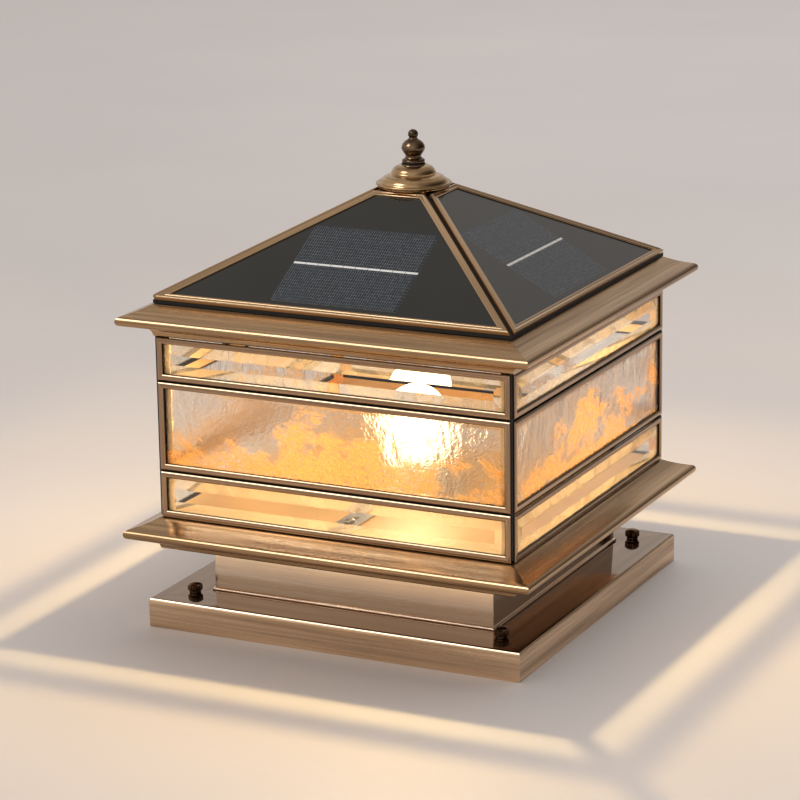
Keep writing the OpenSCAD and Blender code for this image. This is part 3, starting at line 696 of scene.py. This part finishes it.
material, thread = paint("bulb_glow")
haze = where(thread).noise(60, 2.0)
body = thread.node("ShaderNodeBsdfPrincipled", {
    "Base Color": (1.0, 0.95, 0.85, 1),
    "Roughness": 0.2,
    "Emission Color": haze.tint((1.0, 0.74, 0.42), (1.0, 0.78, 0.46)),
    "Emission Strength": 6.0,
})
open_to_shadows(thread, body, (1, 1, 1))
dress(globe, material, "bulb", "bulb_glass", "bulb_globe")
material, thread = paint("filament")
shimmer = where(thread).noise(300, 2.0)
colour = shimmer.tint((1.0, 0.80, 0.42), (1.0, 0.72, 0.32))
surface(thread, colour, 0.5, more={"Emission Color": (1.0, 0.7, 0.35, 1), "Emission Strength": 4.0})
repaint("bulb_filament", material)

# Pane frames. Each pane has its own frame of rounded brass channel, mitred and soldered,
# and the twelve frames stand side by side and row on row against the inner frame. The bars' sides are
# painted near-black as painted shade.
bar_width = 4.4 * mm
channel_at = 2.95 * mm
bar_round = 1 * mm
bar_back = 4.4 * mm
edge_glass = 1.4 * mm
seat = bar_round + 1.05 * mm
groove = -seat - edge_glass - 0.1 * mm
bar_radius = ((bar_width / 2) ** 2 + bar_round**2) / (2 * bar_round)
bar_angle = math.degrees(math.asin(bar_width / 2 / bar_radius))
bar_section = (
    [(bar_round - bar_back, -bar_back)]
    + around(0, -bar_round, (0, -0.15), (-0.12, 0.12))
    + arc(-bar_width / 2, -bar_radius, bar_radius, bar_radius, 90 - bar_angle + 3, 90 + bar_angle - 3, 16)
    + around(-bar_width, -bar_round, (0.12, 0.12), (0, -0.15))
    + [(-bar_width, -seat), (-channel_at, -seat), (-channel_at, groove), (-bar_width, groove)]
    + [(-bar_width, -bar_back)]
)
face_start = math.dist(bar_section[0], bar_section[1]) + math.dist(bar_section[1], bar_section[2])
face_points = bar_section[2:20]
face_end = face_start + sum(math.dist(a, b) for a, b in zip(face_points, face_points[1:]))
lit_frame_face = (face_start, face_end)
frame_brass = brushed("frame_brass", (0.56, 0.38, 0.24), (0.25, 0.145, 0.08), 0.17, lit_face=lit_frame_face)
sides = ("front", "right", "back", "left")
low_row_gap = 0.6 * mm


def leaned(side, out, height, lean):
    """Lifts the far edge of a thing drawn flat, face up, and puts it against one side."""
    turn = Matrix.Rotation(math.pi / 2 * side, 4, "Z")
    return turn @ Matrix.Translation((0, -out, height)) @ Matrix.Rotation(lean, 4, "X")


def row_place(side, row):
    """Half the width and height of a row's frame, and its place against one side."""
    low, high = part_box("frame_" + sides[side] + "_" + row)
    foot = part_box("lower_cornice")[0].z + strip_tall + low_row_gap if row == "low" else low.z
    half = Vector((max(high.x - low.x, high.y - low.y) / 2, (high.z - foot) / 2))
    return half, leaned(side, glass_half, (foot + high.z) / 2, math.pi / 2)


def openings(*rows):
    """The name, half size and place of the openings of these rows on all four sides."""
    for side, side_name in enumerate(sides):
        for row in rows:
            yield side_name + "_" + row, *row_place(side, row)


for name, half, place in openings("low", "mid", "high"):
    bars = mitred("frame_" + name + "_skin", box_plan(*half), bar_section, place)
    dress(bars, frame_brass, "housing", "aged_brass", "frame_" + name)

# Inner frame. Four folded posts and two rails of thin sheet behind the pane frames: painted near-black
# outside, where it shows in the gaps, as painted shade in those deep gaps, and bright brass on its inner
# faces, in the lamp's light.
material, thread = paint("inner_sheet")
place = where(thread)
x, y, z = place.parts()
drift = place.noise(30, 3.0)
low_gap = (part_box("frame_front_low")[1].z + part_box("frame_front_mid")[0].z) / 2
high_gap = (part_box("frame_front_mid")[1].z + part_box("frame_front_high")[0].z) / 2
near_gap = abs(z - low_gap).least(abs(z - high_gap)) < bar_width + 0.4 * mm
near_corner = abs(x).least(abs(y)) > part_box("frame_front_mid")[1].x - bar_width
# Where the frame shows in the gaps between the pane frames it is painted near-black: painted shade.
painted_gap_shade = (abs(x).most(abs(y)) > glass_half - bar_back - 1.2 * mm) * near_gap.most(near_corner)
bright = drift.tint((0.86, 0.60, 0.30), (0.74, 0.48, 0.21))
rough = drift.spread(0.3, 0.7, 0.25, 0.4) + 0.15 * painted_gap_shade
surface(thread, painted_gap_shade.blend(bright, (0.010, 0.008, 0.007)), rough, 1 - painted_gap_shade)
repaint("inner_frame", material)
lantern_walls.objects.link(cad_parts["inner_frame"])

# Clear panes. Plate glass with a broad polished bevel all round, in the low and high rows.
bevel = 7 * mm
bevel_rise = 1.45 * mm
pane_inset = channel_at + 0.1 * mm
hidden_edge = bar_width - channel_at


def layered(name, plan, steps, place, sharp=5):
    """A solid whose plan moves in or out with height, closed below and above."""
    moves = corner_moves(plan)
    count = len(plan)
    points = []
    for out, height in steps:
        points += [place @ Vector((*(corner + out * move), height)) for corner, move in zip(plan, moves)]
    faces = []
    for k in range(len(steps) - 1):
        for i in range(count):
            j = (i + 1) % count
            faces.append((k * count + i, k * count + j, (k + 1) * count + j, (k + 1) * count + i))
    faces.append(tuple(reversed(range(count))))
    faces.append(tuple(range((len(steps) - 1) * count, len(steps) * count)))
    return make(name, points, faces, None, sharp)


def glass(name, tint, shadow_tint, texture, gold):
    """Glass that bends and mirrors what is seen through it, and lets the lamp's light out. The
    texture gives its wrinkles and the share of lamplight that they catch."""
    material, thread = paint(name)
    wrinkles, caught = texture(thread)
    body = thread.node("ShaderNodeBsdfPrincipled", {
        "Base Color": (*tint, 1),
        "Roughness": 0.0,
        "IOR": 1.5,
        "Transmission Weight": 1.0,
        "Normal": wrinkles,
    })
    lit = thread.node("ShaderNodeBsdfTranslucent", {"Color": (*gold, 1), "Normal": wrinkles})
    body = thread.node("ShaderNodeMixShader", {0: caught, 1: body, 2: lit})
    open_to_shadows(thread, body, shadow_tint)
    return material


def bevelled(thread):
    """Hardly a wrinkle, and a pale glow on the bevels round the clear panes."""
    place = where(thread)
    x, y, z = place.parts()
    border = row_place(0, "low")[0].x - bar_width - abs(x).least(abs(y))
    between_rows = 140 * mm
    far_off = 9
    upper = z > between_rows
    for row, elsewhere in (("low", upper), ("high", 1 - upper)):
        half, stand = row_place(0, row)
        in_row = half.y - bar_width - abs(z - stand.translation.z)
        border = border.least(in_row + far_off * elsewhere)
    streak = thread.vector((x + y) * 60, z * 60).noise(1.0, 2.0)
    caught = (border < bevel) * streak.spread(0.35, 0.65, 0.12, 0.34)
    return place.noise(60, 1.0).bump(0.00002, 0.3), caught


clear_glass = glass("clear_glass", (1.0, 0.99, 0.965), (0.96, 0.93, 0.87), bevelled, (1.0, 0.86, 0.62))
pane_back = seat + 0.05 * mm + edge_glass
edge_front = edge_glass - pane_back
bevel_front = edge_glass + bevel_rise - pane_back
steps = around(0, -pane_back, (-0.1, 0), (0, 0.1)) + [(0, edge_front)]
steps += [(-hidden_edge, edge_front), (-hidden_edge - bevel, bevel_front)]
for name, half, place in openings("low", "high"):
    plan = box_plan(half.x - pane_inset, half.y - pane_inset)
    pane = layered("glass_" + name + "_skin", plan, steps, place)
    dress(pane, clear_glass, "housing", "clear_glass", "glass_" + name)

# Rippled panes. Rolled glass of the middle row, flat behind and pressed into long upright
# waves in front, which break the light of the lamp into flecks.


def group(name, sockets):
    """A geometry tree whose inputs are numbers with these starting values, or else of the named
    kind: the thread to build on, the inputs' keys for a modifier, and their threads."""
    tree = bpy.data.node_groups.new(name, "GeometryNodeTree")
    keys = {}
    for label, start in sockets.items():
        kind = start if isinstance(start, str) else "Float"
        socket = tree.interface.new_socket(name=label, in_out="INPUT", socket_type="NodeSocket" + kind)
        keys[label] = socket.identifier
        if kind == "Float":
            socket.default_value = start
    tree.interface.new_socket(name="Geometry", in_out="OUTPUT", socket_type="NodeSocketGeometry")
    given = Thread(tree).node("NodeGroupInput")
    return Thread(tree), keys, [given.output(label) for label in keys]


proud = 0.9 * mm
tree, ripple_inputs, (width, height, edge, raised, wave, depth, seed, finish) = group("rippled_pane", {
    "Width": 0.25,
    "Height": 0.055,
    "Edge": edge_glass,
    "Proud": proud,
    "Wave": 90.0,
    "Depth": 0.8 * mm,
    "Seed": 0.0,
    "Finish": "Material",
})
ripple_tree = tree.tree
size = tree.vector(width, height, edge + raised)
net = {"Size": size, "Vertices X": 316, "Vertices Y": 70, "Vertices Z": 2}
block = tree.node("GeometryNodeMeshCube", net)
x, y, z = tree.node("GeometryNodeInputPosition").parts()
border = (width / 2 - abs(x)).least(height / 2 - abs(y))
inside = border.spread(hidden_edge + 0.4 * mm, hidden_edge + 1.6 * mm)
sway = tree.vector(x * 40, y * 26, seed).noise(1.0, 2.0)
warped = tree.vector(x * wave + sway * 3.2, y * wave * 0.36 + sway * 1.4, seed)
cells = warped.node("ShaderNodeTexVoronoi", {"Vector": warped, "Scale": 1.0}, feature="DISTANCE_TO_EDGE")
waves = tree.vector(x * wave * 0.8, y * wave * 0.5, seed + 7).noise(1.0, 3.0, 0.6)
relief = 0.4 * (1 - cells.spread(0.0, 0.3)) + 0.75 * waves
sink = (1 - inside) * raised + inside * relief * depth
offset = tree.vector(0, 0, -1 * sink)
moved = tree.node("GeometryNodeSetPosition", {"Geometry": block, "Selection": z > 0, "Offset": offset})
smooth = tree.node("GeometryNodeSetShadeSmooth", {"Geometry": moved})


def finished(tree, shape, finish):
    """Ends a geometry tree."""
    real = tree.node("GeometryNodeRealizeInstances", {"Geometry": shape})
    coated = tree.node("GeometryNodeSetMaterial", {"Geometry": real, "Material": finish})
    tree.node("NodeGroupOutput", {"Geometry": coated})


finished(tree, smooth, finish)


def grown(name, tree, inputs, values, seed_mesh=None):
    """Runs a geometry tree on a holder, keeps the result as a plain mesh, drops the modifier."""
    holder = add(name, seed_mesh or bpy.data.meshes.new(name))
    modifier = holder.modifiers.new("form", "NODES")
    modifier.node_group = tree
    for label, value in values.items():
        modifier[inputs[label]] = value
    bpy.context.view_layer.update()
    evaluated = holder.evaluated_get(bpy.context.evaluated_depsgraph_get())
    mesh = bpy.data.meshes.new_from_object(evaluated)
    holder.modifiers.clear()
    holder.data = mesh
    return holder


def wrinkled(thread):
    """Fine wrinkles across the waves, and the cloudy patches where they catch the light."""
    place = where(thread)
    x, y, z = place.parts()
    along = x + y
    fine = thread.vector(along * 430, z * 360, 0.0).noise(1.0, 4.0, 0.62)
    coarse = thread.vector(along * 190, z * 150, 4.0).noise(1.0, 2.0, 0.5)
    patch = thread.vector(along * 24, z * 30, 9.0).noise(1.0, 6.0, 0.68)
    half, stand = row_place(0, "mid")
    lean = (stand.translation.z - z) * (0.11 / half.y) - abs(x).least(abs(y)) * (0.07 / half.x) + 0.01
    caught = (patch + lean).spread(0.48, 0.55, 0.03, 0.68) * fine.spread(0.42, 0.58, 0.2, 1)
    return (0.45 * fine + 0.55 * coarse).bump(0.0011, 0.6), caught


ripple_glass = glass("ripple_glass", (1.0, 0.985, 0.955), (0.93, 0.87, 0.76), wrinkled, (0.94, 0.55, 0.20))
pane_middle = Matrix.Translation((0, 0, -pane_back + (edge_glass + proud) / 2))
for side, (name, half, place) in enumerate(openings("mid")):
    values = {
        "Width": 2 * (half.x - pane_inset),
        "Height": 2 * (half.y - pane_inset),
        "Edge": edge_glass,
        "Proud": proud,
        "Seed": 3.0 + 5 * side,
        "Finish": ripple_glass,
    }
    pane = grown("glass_" + name + "_skin", ripple_tree, ripple_inputs, values)
    pane.data.transform(place @ pane_middle)
    dress(pane, ripple_glass, "housing", "ripple_glass", "glass_" + name)

# Bridge bar. A zinc plated bar across the upper cornice, whose boss takes the finial's rod and
# so holds the whole roof down.
repaint("bridge_bar", zinc_steel)

# Screws. Twelve equal pan head screws with cross recesses join pan, neck and cornice and hold
# the bracket and the bridge bar. One is modelled and set out on its twelve places.
screw_sockets = {"Geometry": "Geometry", "Screw": "Object", "Finish": "Material"}
tree, screw_inputs, (spots, screw, finish) = group("set_out_screws", screw_sockets)
screw_tree = tree.tree
shape = tree.node("GeometryNodeObjectInfo", {"Object": screw}).output("Geometry")
way = tree.node("GeometryNodeInputNamedAttribute", {"Name": "way"}, data_type="FLOAT_VECTOR")
turn = tree.node("FunctionNodeAlignRotationToVector", {"Vector": way}, axis="Z")
placed = tree.node("GeometryNodeInstanceOnPoints", {"Points": spots, "Instance": shape, "Rotation": turn})
finished(tree, placed, finish)

head = 3.75 * mm
shank = 1.98 * mm
tip = -6 * mm
point = -5.6 * mm
threaded = 5.5 * mm
screw_rings = 36
outline = around(0, tip, (0, 0), (1.5, 0)) + [(1.9 * mm, point)]
outline += [(shank, point + threaded * i / screw_rings) for i in range(1, screw_rings + 1)]
outline += [(shank, 0.06 * mm)] + around(head, 0, (-0.15, 0.06), (0, 0.2), (0, 0.95))
outline += arc(0, 0.9 * mm, head - 0.05 * mm, 1.5 * mm, 5, 60, 8)
outline += [(1.7 * mm - 0.14 * mm * i, 2.24 * mm + 0.015 * mm * i) for i in range(11)] + [(0, 2.4 * mm)]
one_screw = lathe("one_screw", outline, 40, helix(0.7 * mm, 0.3 * mm, -5.5 * mm, -0.2 * mm))
cross_half = 0.36 * mm
cross_long = 1.75 * mm
cross_deep = 0.9 * mm
for vertex in one_screw.data.vertices:
    spot = vertex.co
    near, far = sorted((abs(spot.x), abs(spot.y)))
    if spot.z > 2 * mm and near < cross_half and far < cross_long:
        spot.z -= cross_deep
neck_at = 98.5 * mm
strap_in = 18 * mm
bridge_in = 3 * mm
strap_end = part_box("lamp_bracket")[1].y
bridge_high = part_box("bridge_bar")[1]
bridge_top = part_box("screws")[1].z - 2.45 * mm
places = []
for quarter in range(4):
    x = neck_at * math.cos(quarter * math.pi / 2)
    y = neck_at * math.sin(quarter * math.pi / 2)
    places.append(((x, y, pan_top), (0, 0, 1)))
    places.append(((x, y, neck_high.z - sheet), (0, 0, -1)))
for side in (-1, 1):
    places.append(((0, side * (strap_end - strap_in), strap_top), (0, 0, 1)))
    places.append(((0, side * (bridge_high.y - bridge_in), bridge_top), (0, 0, 1)))
spots = bpy.data.meshes.new("screw_spots")
spots.from_pydata([spot for spot, way in places], [], [])
ways = spots.attributes.new("way", "FLOAT_VECTOR", "POINT")
ways.data.foreach_set("vector", [part for spot, way in places for part in way])
screws = grown("screws_skin", screw_tree, screw_inputs, {"Screw": one_screw, "Finish": nickel_steel}, spots)
bpy.data.objects.remove(one_screw)
dress(screws, nickel_steel, "housing", "nickel_steel", "screws")

# Roof shell and tray. Folded steel sheet, painted satin black; its near-black, dull surface also stands in
# for the shade in the gaps along the hips and under the roof's edge, as painted shade. The tray closes it
# below and centres it.
roof_half = 130.9 * mm
roof_flat = 20.2 * mm
eaves_tall = 2.4 * mm
roof_rise = 59.9 * mm
roof_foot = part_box("upper_cornice")[0].z + strip_tall + 0.3 * mm
slope_low = roof_foot + eaves_tall
slope_high = slope_low + roof_rise
pitch = math.atan2(slope_high - slope_low, roof_half - roof_flat)
under = wall / math.cos(pitch)
rod_way = 5 * mm - roof_half
shell_section = [
    (-wall, roof_foot),
    (0, roof_foot),
    (0, slope_low),
    (roof_flat - roof_half, slope_high),
    (rod_way, slope_high),
    (rod_way, slope_high - wall),
    (roof_flat - roof_half, slope_high - under),
    (-wall, slope_low - under + wall * math.tan(pitch)),
]
black_sheet, thread = paint("black_sheet")
grit = where(thread).noise(900, 2.0)
cloud = where(thread).noise(25, 3.0)
# Near-black and dull: the shell's satin black paint, which also serves as painted shade in the gaps.
colour = cloud.tint((0.012, 0.011, 0.010), (0.022, 0.020, 0.018))
satin = {"Specular IOR Level": 0.2}
surface(thread, colour, cloud.spread(0.3, 0.7, 0.5, 0.6), 0.0, grit.bump(0.00002, 0.3), satin)
shell = mitred("roof_shell_skin", box_plan(roof_half, roof_half), shell_section, sharp=20)
dress(shell, black_sheet, "roof", "black_sheet", "roof_shell")
repaint("ceiling_plate", black_sheet)

# Panel frames. Flat brass bar with a rounded outer edge and a low inner bead, mitred round
# each slope of the roof; the solar panel lies in its rabbet.
hip_gap = 1.2 * mm
eaves_gap = 0.1 * mm
panel_bar = 4.6 * mm
panel_bar_tall = 3.1 * mm
panel_thick = 1.7 * mm
panel_end = (roof_half - roof_flat - 0.2 * mm) / math.cos(pitch)


def slope_half(up_slope):
    """Half the width of one slope's frame at a distance up from the eaves."""
    return roof_half - up_slope * math.cos(pitch) - hip_gap * math.hypot(1, math.cos(pitch))


slope_plan = [
    Vector((-slope_half(eaves_gap), eaves_gap)),
    Vector((slope_half(eaves_gap), eaves_gap)),
    Vector((slope_half(panel_end), panel_end)),
    Vector((-slope_half(panel_end), panel_end)),
]
slopes = [(name, leaned(side, roof_half, slope_low, pitch)) for side, name in enumerate(sides)]
lift = 0.05 * mm
outer_round = 1.2 * mm
rabbet = panel_thick + 0.1 * mm
rabbet_in = -3.1 * mm
panel_section = (
    [(rabbet_in, lift), (-0.2 * mm, lift), (0, 0.25 * mm)]
    + arc(-outer_round, panel_bar_tall - outer_round, outer_round, outer_round, 0, 100, 10)
    + around(0, panel_bar_tall, (-1.9, -0.35), (-2.1, -0.45))
    + around(-panel_bar, panel_bar_tall, (1.6, -0.55))
    + arc(-panel_bar + 0.8 * mm, panel_bar_tall - 0.95 * mm, 0.8 * mm, 0.75 * mm, 70, 175, 8)
    + [(-panel_bar, rabbet), (rabbet_in, rabbet)]
)
panel_brass = brushed("panel_brass", (0.66, 0.455, 0.265), (0.33, 0.205, 0.11), rough=0.16, depth=0.45)
for name, slope in slopes:
    bars = mitred("panel_frame_" + name + "_skin", slope_plan, panel_section, slope)
    dress(bars, panel_brass, "roof", "aged_brass", "panel_frame_" + name)

# Solar panels. Dark cells laminated under smooth glass and cut to the slope, with a field of
# fine silver fingers in the middle and one broad ribbon across it.
cell_wide = 91.5 * mm
cell_low = 9.2 * mm
cell_high = 86 * mm
ribbon_at = 47.6 * mm
ribbon_wide = 1.9 * mm
silver_thick = 0.03 * mm
tree, cell_inputs, given = group("cell_fingers", {
    "Width": cell_wide,
    "Low": cell_low,
    "High": cell_high,
    "Spacing": 1.7 * mm,
    "Rows": 3.0 * mm,
    "Line": 0.2 * mm,
    "Ribbon": ribbon_at,
    "Level": panel_thick,
    "Finger finish": "Material",
    "Ribbon finish": "Material",
})
width, low_edge, high_edge, spacing, row_step, line, ribbon, level, finger_finish, ribbon_finish = given
cell_tree = tree.tree
tall = high_edge - low_edge


def strokes(length_x, length_y, count, start, step):
    """Thin flat bars set out in a row."""
    bar = tree.node("GeometryNodeMeshCube", {"Size": tree.vector(length_x, length_y, silver_thick)})
    spots = tree.node("GeometryNodeMeshLine", {"Count": count, "Start Location": start, "Offset": step})
    return tree.node("GeometryNodeInstanceOnPoints", {"Points": spots, "Instance": bar})


def joined(*shapes):
    """Several shapes as one."""
    both = tree.node("GeometryNodeJoinGeometry")
    for shape in shapes:
        cell_tree.links.new(shape.socket, both.socket.node.inputs[0])
    return both


first_finger = tree.vector(-0.5 * width, 0.5 * (low_edge + high_edge), level)
across = strokes(line, tall, width / spacing, first_finger, tree.vector(spacing, 0))
first_row = tree.vector(0, low_edge, level)
upward = strokes(width, 0.6 * line, tall / row_step, first_row, tree.vector(0, row_step))
fingers = joined(across, upward)
fingers = tree.node("GeometryNodeSetMaterial", {"Geometry": fingers, "Material": finger_finish})
first_pad = tree.vector(-0.45 * width, ribbon, level + silver_thick)
pads = strokes(width / 10.4, ribbon_wide, 10, first_pad, tree.vector(width / 10, 0))
pads = tree.node("GeometryNodeSetMaterial", {"Geometry": pads, "Material": ribbon_finish})
real = tree.node("GeometryNodeRealizeInstances", {"Geometry": joined(fingers, pads)})
tree.node("NodeGroupOutput", {"Geometry": real})

solar_glass, thread = paint("solar_glass")
place = where(thread)
x, y, z = place.parts()
cell_across = abs(x).least(abs(y))
up_slope = (roof_half - abs(x).most(abs(y))) / math.cos(pitch)
cell = (cell_across < cell_wide / 2) * (up_slope > cell_low) * (up_slope < cell_high)
haze = place.noise(14, 2.0)
back_colour = haze.tint((0.012, 0.012, 0.010), (0.017, 0.017, 0.014))
colour = (cell * 0.9).blend(back_colour, (0.012, 0.016, 0.022))
surface(thread, colour, haze.spread(0.3, 0.7, 0.14, 0.2), more={"IOR": 1.5})
silver_fingers = clouded("silver_fingers", 400, 2.0, (0.07, 0.11, 0.15), (0.28, 0.33, 0.37), (0.35, 0.5))
silver_ribbon = clouded("silver_ribbon", 700, 2.0, (0.95, 0.95, 0.93), (0.80, 0.80, 0.78), (0.3, 0.45))
panel_in = -3.2 * mm
panel_top = panel_thick + lift - 0.02 * mm
steps = [(panel_in, lift), (panel_in, panel_thick - 0.1 * mm + lift), (panel_in - 0.1 * mm, panel_top)]
values = {"Level": panel_top + 0.01 * mm, "Finger finish": silver_fingers, "Ribbon finish": silver_ribbon}
for name, slope in slopes:
    panel = layered("solar_panel_" + name + "_skin", slope_plan, steps, slope)
    dress(panel, solar_glass, "roof", "solar_glass", "solar_panel_" + name)
    fingers = grown("cell_fingers_" + name, cell_tree, cell_inputs, values)
    fingers.data.transform(slope)
    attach(fingers, "roof")

# Battery pack. Three round cells side by side in one blue sleeve, which is shrunk on by heat. It
# lies on the roof's tray.
low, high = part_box("battery_pack")
middle = (low + high) / 2
cell_radius = (high.z - low.z) / 2
length = (high.y - low.y) / 2
lobes = arc(2 * cell_radius, 0, cell_radius, cell_radius, -90, 60, 14)
lobes += arc(0, 0.12 * cell_radius, cell_radius * 0.92, cell_radius * 0.88, 60, 120, 6)
lobes += arc(-2 * cell_radius, 0, cell_radius, cell_radius, 120, 270, 14)
plan = [Vector(point) for point in lobes]
steps = around(0, -length, (-1.6, 0), (-0.5, 0.3), (0, 1.2))
steps += around(0, length, (0, -1.2), (-0.5, -0.3), (-1.6, 0))
stand = Matrix.Translation(middle) @ Matrix.Rotation(math.pi / 2, 4, "X")
sleeve = layered("battery_pack_skin", plan, steps, stand, 32)
blue = clouded(
    "battery_sleeve", 220, 3.0, (0.025, 0.07, 0.32), (0.02, 0.055, 0.26), (0.25, 0.4), (0.0004, 0.4))
dress(sleeve, blue, "roof", "battery_sleeve", "battery_pack")

# Controller. A moulded box of black plastic with a lid joint round it and the push button's
# pocket below, glued on the tray.
low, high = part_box("controller_box")
middle = (low + high) / 2
half_x, half_y = (high.x - low.x) / 2, (high.y - low.y) / 2
corner = 2.5 * mm
plan = []
for side_x, side_y, start in ((1, -1, -90), (1, 1, 0), (-1, 1, 90), (-1, -1, 180)):
    x = side_x * (half_x - corner)
    y = side_y * (half_y - corner)
    plan += [Vector(point) + middle.xy for point in arc(x, y, corner, corner, start, start + 90, 6)]
joint = high.z - 5 * mm
steps = around(0, low.z, (-0.6, 0), (0, 0.6))
steps += around(0, joint, (0, -0.4), (-0.5, -0.3), (-0.5, 0.3), (0, 0.4))
steps += around(0, high.z, (0, -1), (-0.3, -0.3), (-1, 0))
box = layered("controller_box_skin", plan, steps, Matrix.Identity(4), 32)
black_plastic = clouded(
    "black_plastic", 1500, 2.0, (0.020, 0.020, 0.021), (0.030, 0.030, 0.032), (0.45, 0.6), (0.00004, 0.6))
dress(box, black_plastic, "roof", "black_plastic", "controller_box")

# Power button. A push button moulded in red plastic. It slides in the controller's pocket on a
# spring and reaches down through the tray.
low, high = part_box("power_button")
middle = (low + high) / 2
outline = around(0, low.z, (0, 0.25), (1.6, 0.2), (3.0, 0))
outline += arc(3.3 * mm, low.z + 0.7 * mm, 0.7 * mm, 0.7 * mm, -80, 0, 6)
collar = high.x - middle.x
outline += [(4 * mm, high.z - 1.5 * mm), (collar, high.z - 1.5 * mm), (collar, high.z), (0, high.z)]
button = lathe("power_button_skin", outline, 40, None, [(middle.x, middle.y)])
red_plastic = clouded("red_plastic", 300, 2.0, (0.55, 0.03, 0.02), (0.46, 0.025, 0.018), (0.22, 0.32))
dress(button, red_plastic, "button", "red_plastic", "power_button")

# Roof cap. Spun from brass sheet: a foot between the panel frames, a double rim that rests on
# them, and two domes up to the finial's seat.
rim = 25.8 * mm
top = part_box("roof_cap")[1].z
foot = roof_flat - 0.6 * mm
foot_z = slope_high + lift
rim_low = slope_high + (panel_bar_tall + lift) * math.cos(pitch) + lift
outline = [(13 * mm, foot_z), (foot, foot_z), (foot, rim_low)]
outline += around(rim, rim_low, (-1.3, 0), (-1.0, 0.3), (-0.95, 0.65), (-1.3, 1.0))
outline += arc(rim - 1.05 * mm, rim_low + 2 * mm, 1.05 * mm, 0.9 * mm, -75, 90, 12)
outline += around(rim, rim_low, (-2.6, 2.9))
outline += arc(11 * mm, rim_low + 2.9 * mm, rim - 13.9 * mm, top - rim_low - 9.2 * mm, 4, 68, 18)
outline += around(0, top, (15.1, -6.35), (15.3, -6.05), (15.3, -5.65), (15, -5.35))
outline += arc(6 * mm, top - 5.35 * mm, 8.8 * mm, 5.35 * mm, 8, 72, 14)
outline += around(0, top, (8.5, 0), (3.3, 0), (3.3, -1.2))
outline += arc(6 * mm, top - 6.15 * mm, 7.4 * mm, 4.95 * mm, 80, 4, 8)
outline += around(0, top, (13.4, -6.95))
outline += arc(11 * mm, rim_low + 2.7 * mm, rim - 15.2 * mm, top - rim_low - 10.4 * mm, 66, 0, 8)
outline += around(rim, rim_low, (-4.4, 1.2)) + around(foot, rim_low, (-1.2, 1.2))
outline += around(foot, foot_z, (-1.2, 1.2)) + around(0, foot_z, (13, 1.2))
cap = lathe("roof_cap_skin", outline, 128)
spun_brass = turned("spun_brass", (0.60, 0.41, 0.215), (0.24, 0.145, 0.07), 0.14, rings=500, spots=45)
dress(cap, spun_brass, "roof", "spun_brass", "roof_cap")

# Cap seal. A flat ring cut from black rubber. It lies between the finial's collar and the cap
# and keeps the rain out of the rod's hole.
low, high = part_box("cap_seal")
edge = high.x
ring = [(3.4 * mm, low.z), (edge - 0.2 * mm, low.z)]
ring += arc(edge - 0.3 * mm, (low.z + high.z) / 2, 0.3 * mm, (high.z - low.z) / 2, -70, 70, 6)
ring += [(edge - 0.2 * mm, high.z), (3.4 * mm, high.z)]
seal = lathe("cap_seal_skin", ring, 64)
seal_rubber = clouded("seal_rubber", 500, 2.0, (0.012, 0.012, 0.012), (0.02, 0.02, 0.02), (0.6, 0.75))
dress(seal, seal_rubber, "seal", "seal_rubber", "cap_seal")

# Finial. An urn with a ball, cast in bronze and browned. It is screwed down on the rubber ring
# by its long rod, which is glued in the hole below.
fin_low, fin_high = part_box("finial")
drawn_tall = 22.8
step = (fin_high.z - fin_low.z) / drawn_tall
rod_hole = 3.05 * mm
hole_top = fin_low.z + 8.2 * mm
base = [(7.0, 0), (7.5, 0.2), (7.75, 0.7), (7.8, 1.3), (7.7, 1.9), (7.2, 2.4)]
stem = [(6.4, 2.8), (5.9, 3.2), (5.5, 3.7), (5.3, 4.3), (5.5, 5.2)]
urn = [(6.3, 6.4), (7.3, 7.8), (7.9, 9.2), (8.05, 10.3), (7.8, 11.6), (7.1, 13), (6.1, 14.2), (5, 15.1)]
throat = [(3.7, 15.9), (2.9, 16.6), (2.7, 17.1), (2.9, 17.5)]
outline = [(rod_hole, 0)] + [(radius * mm, height * step) for radius, height in base + stem + urn + throat]
outline += arc(0, 19.3 * step, 3.5 * mm, 3.5 * step, -32, 90, 14)[1:-1]
outline = [(radius, fin_low.z + height) for radius, height in outline]
outline += [(0, fin_high.z), (0, hole_top), (rod_hole, hole_top)]
finial = lathe("finial_skin", outline, 96, sharp=60)
dress(finial, dark_bronze, "finial", "dark_bronze", "finial")

# Finial rod. A long nickel plated steel stud, glued into the finial, with a rolled thread at its
# lower end for the boss of the bridge bar.
low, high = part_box("finial_rod")
rod = high.x
threaded_to = low.z + 24 * mm
rod_rings = 100
outline = [(0, low.z), (rod - 0.9 * mm, low.z), (rod - 0.05 * mm, low.z + 1 * mm)]
threaded = threaded_to - low.z
outline += [(rod, low.z + 1.1 * mm + threaded * i / rod_rings) for i in range(rod_rings + 1)]
outline += [(rod, high.z), (0, high.z)]
rod_thread = helix(1 * mm, 0.45 * mm, low.z + 1.2 * mm, threaded_to)
piece = lathe("finial_rod_skin", outline, 32, rod_thread)
dress(piece, nickel_steel, "finial", "nickel_steel", "finial_rod")
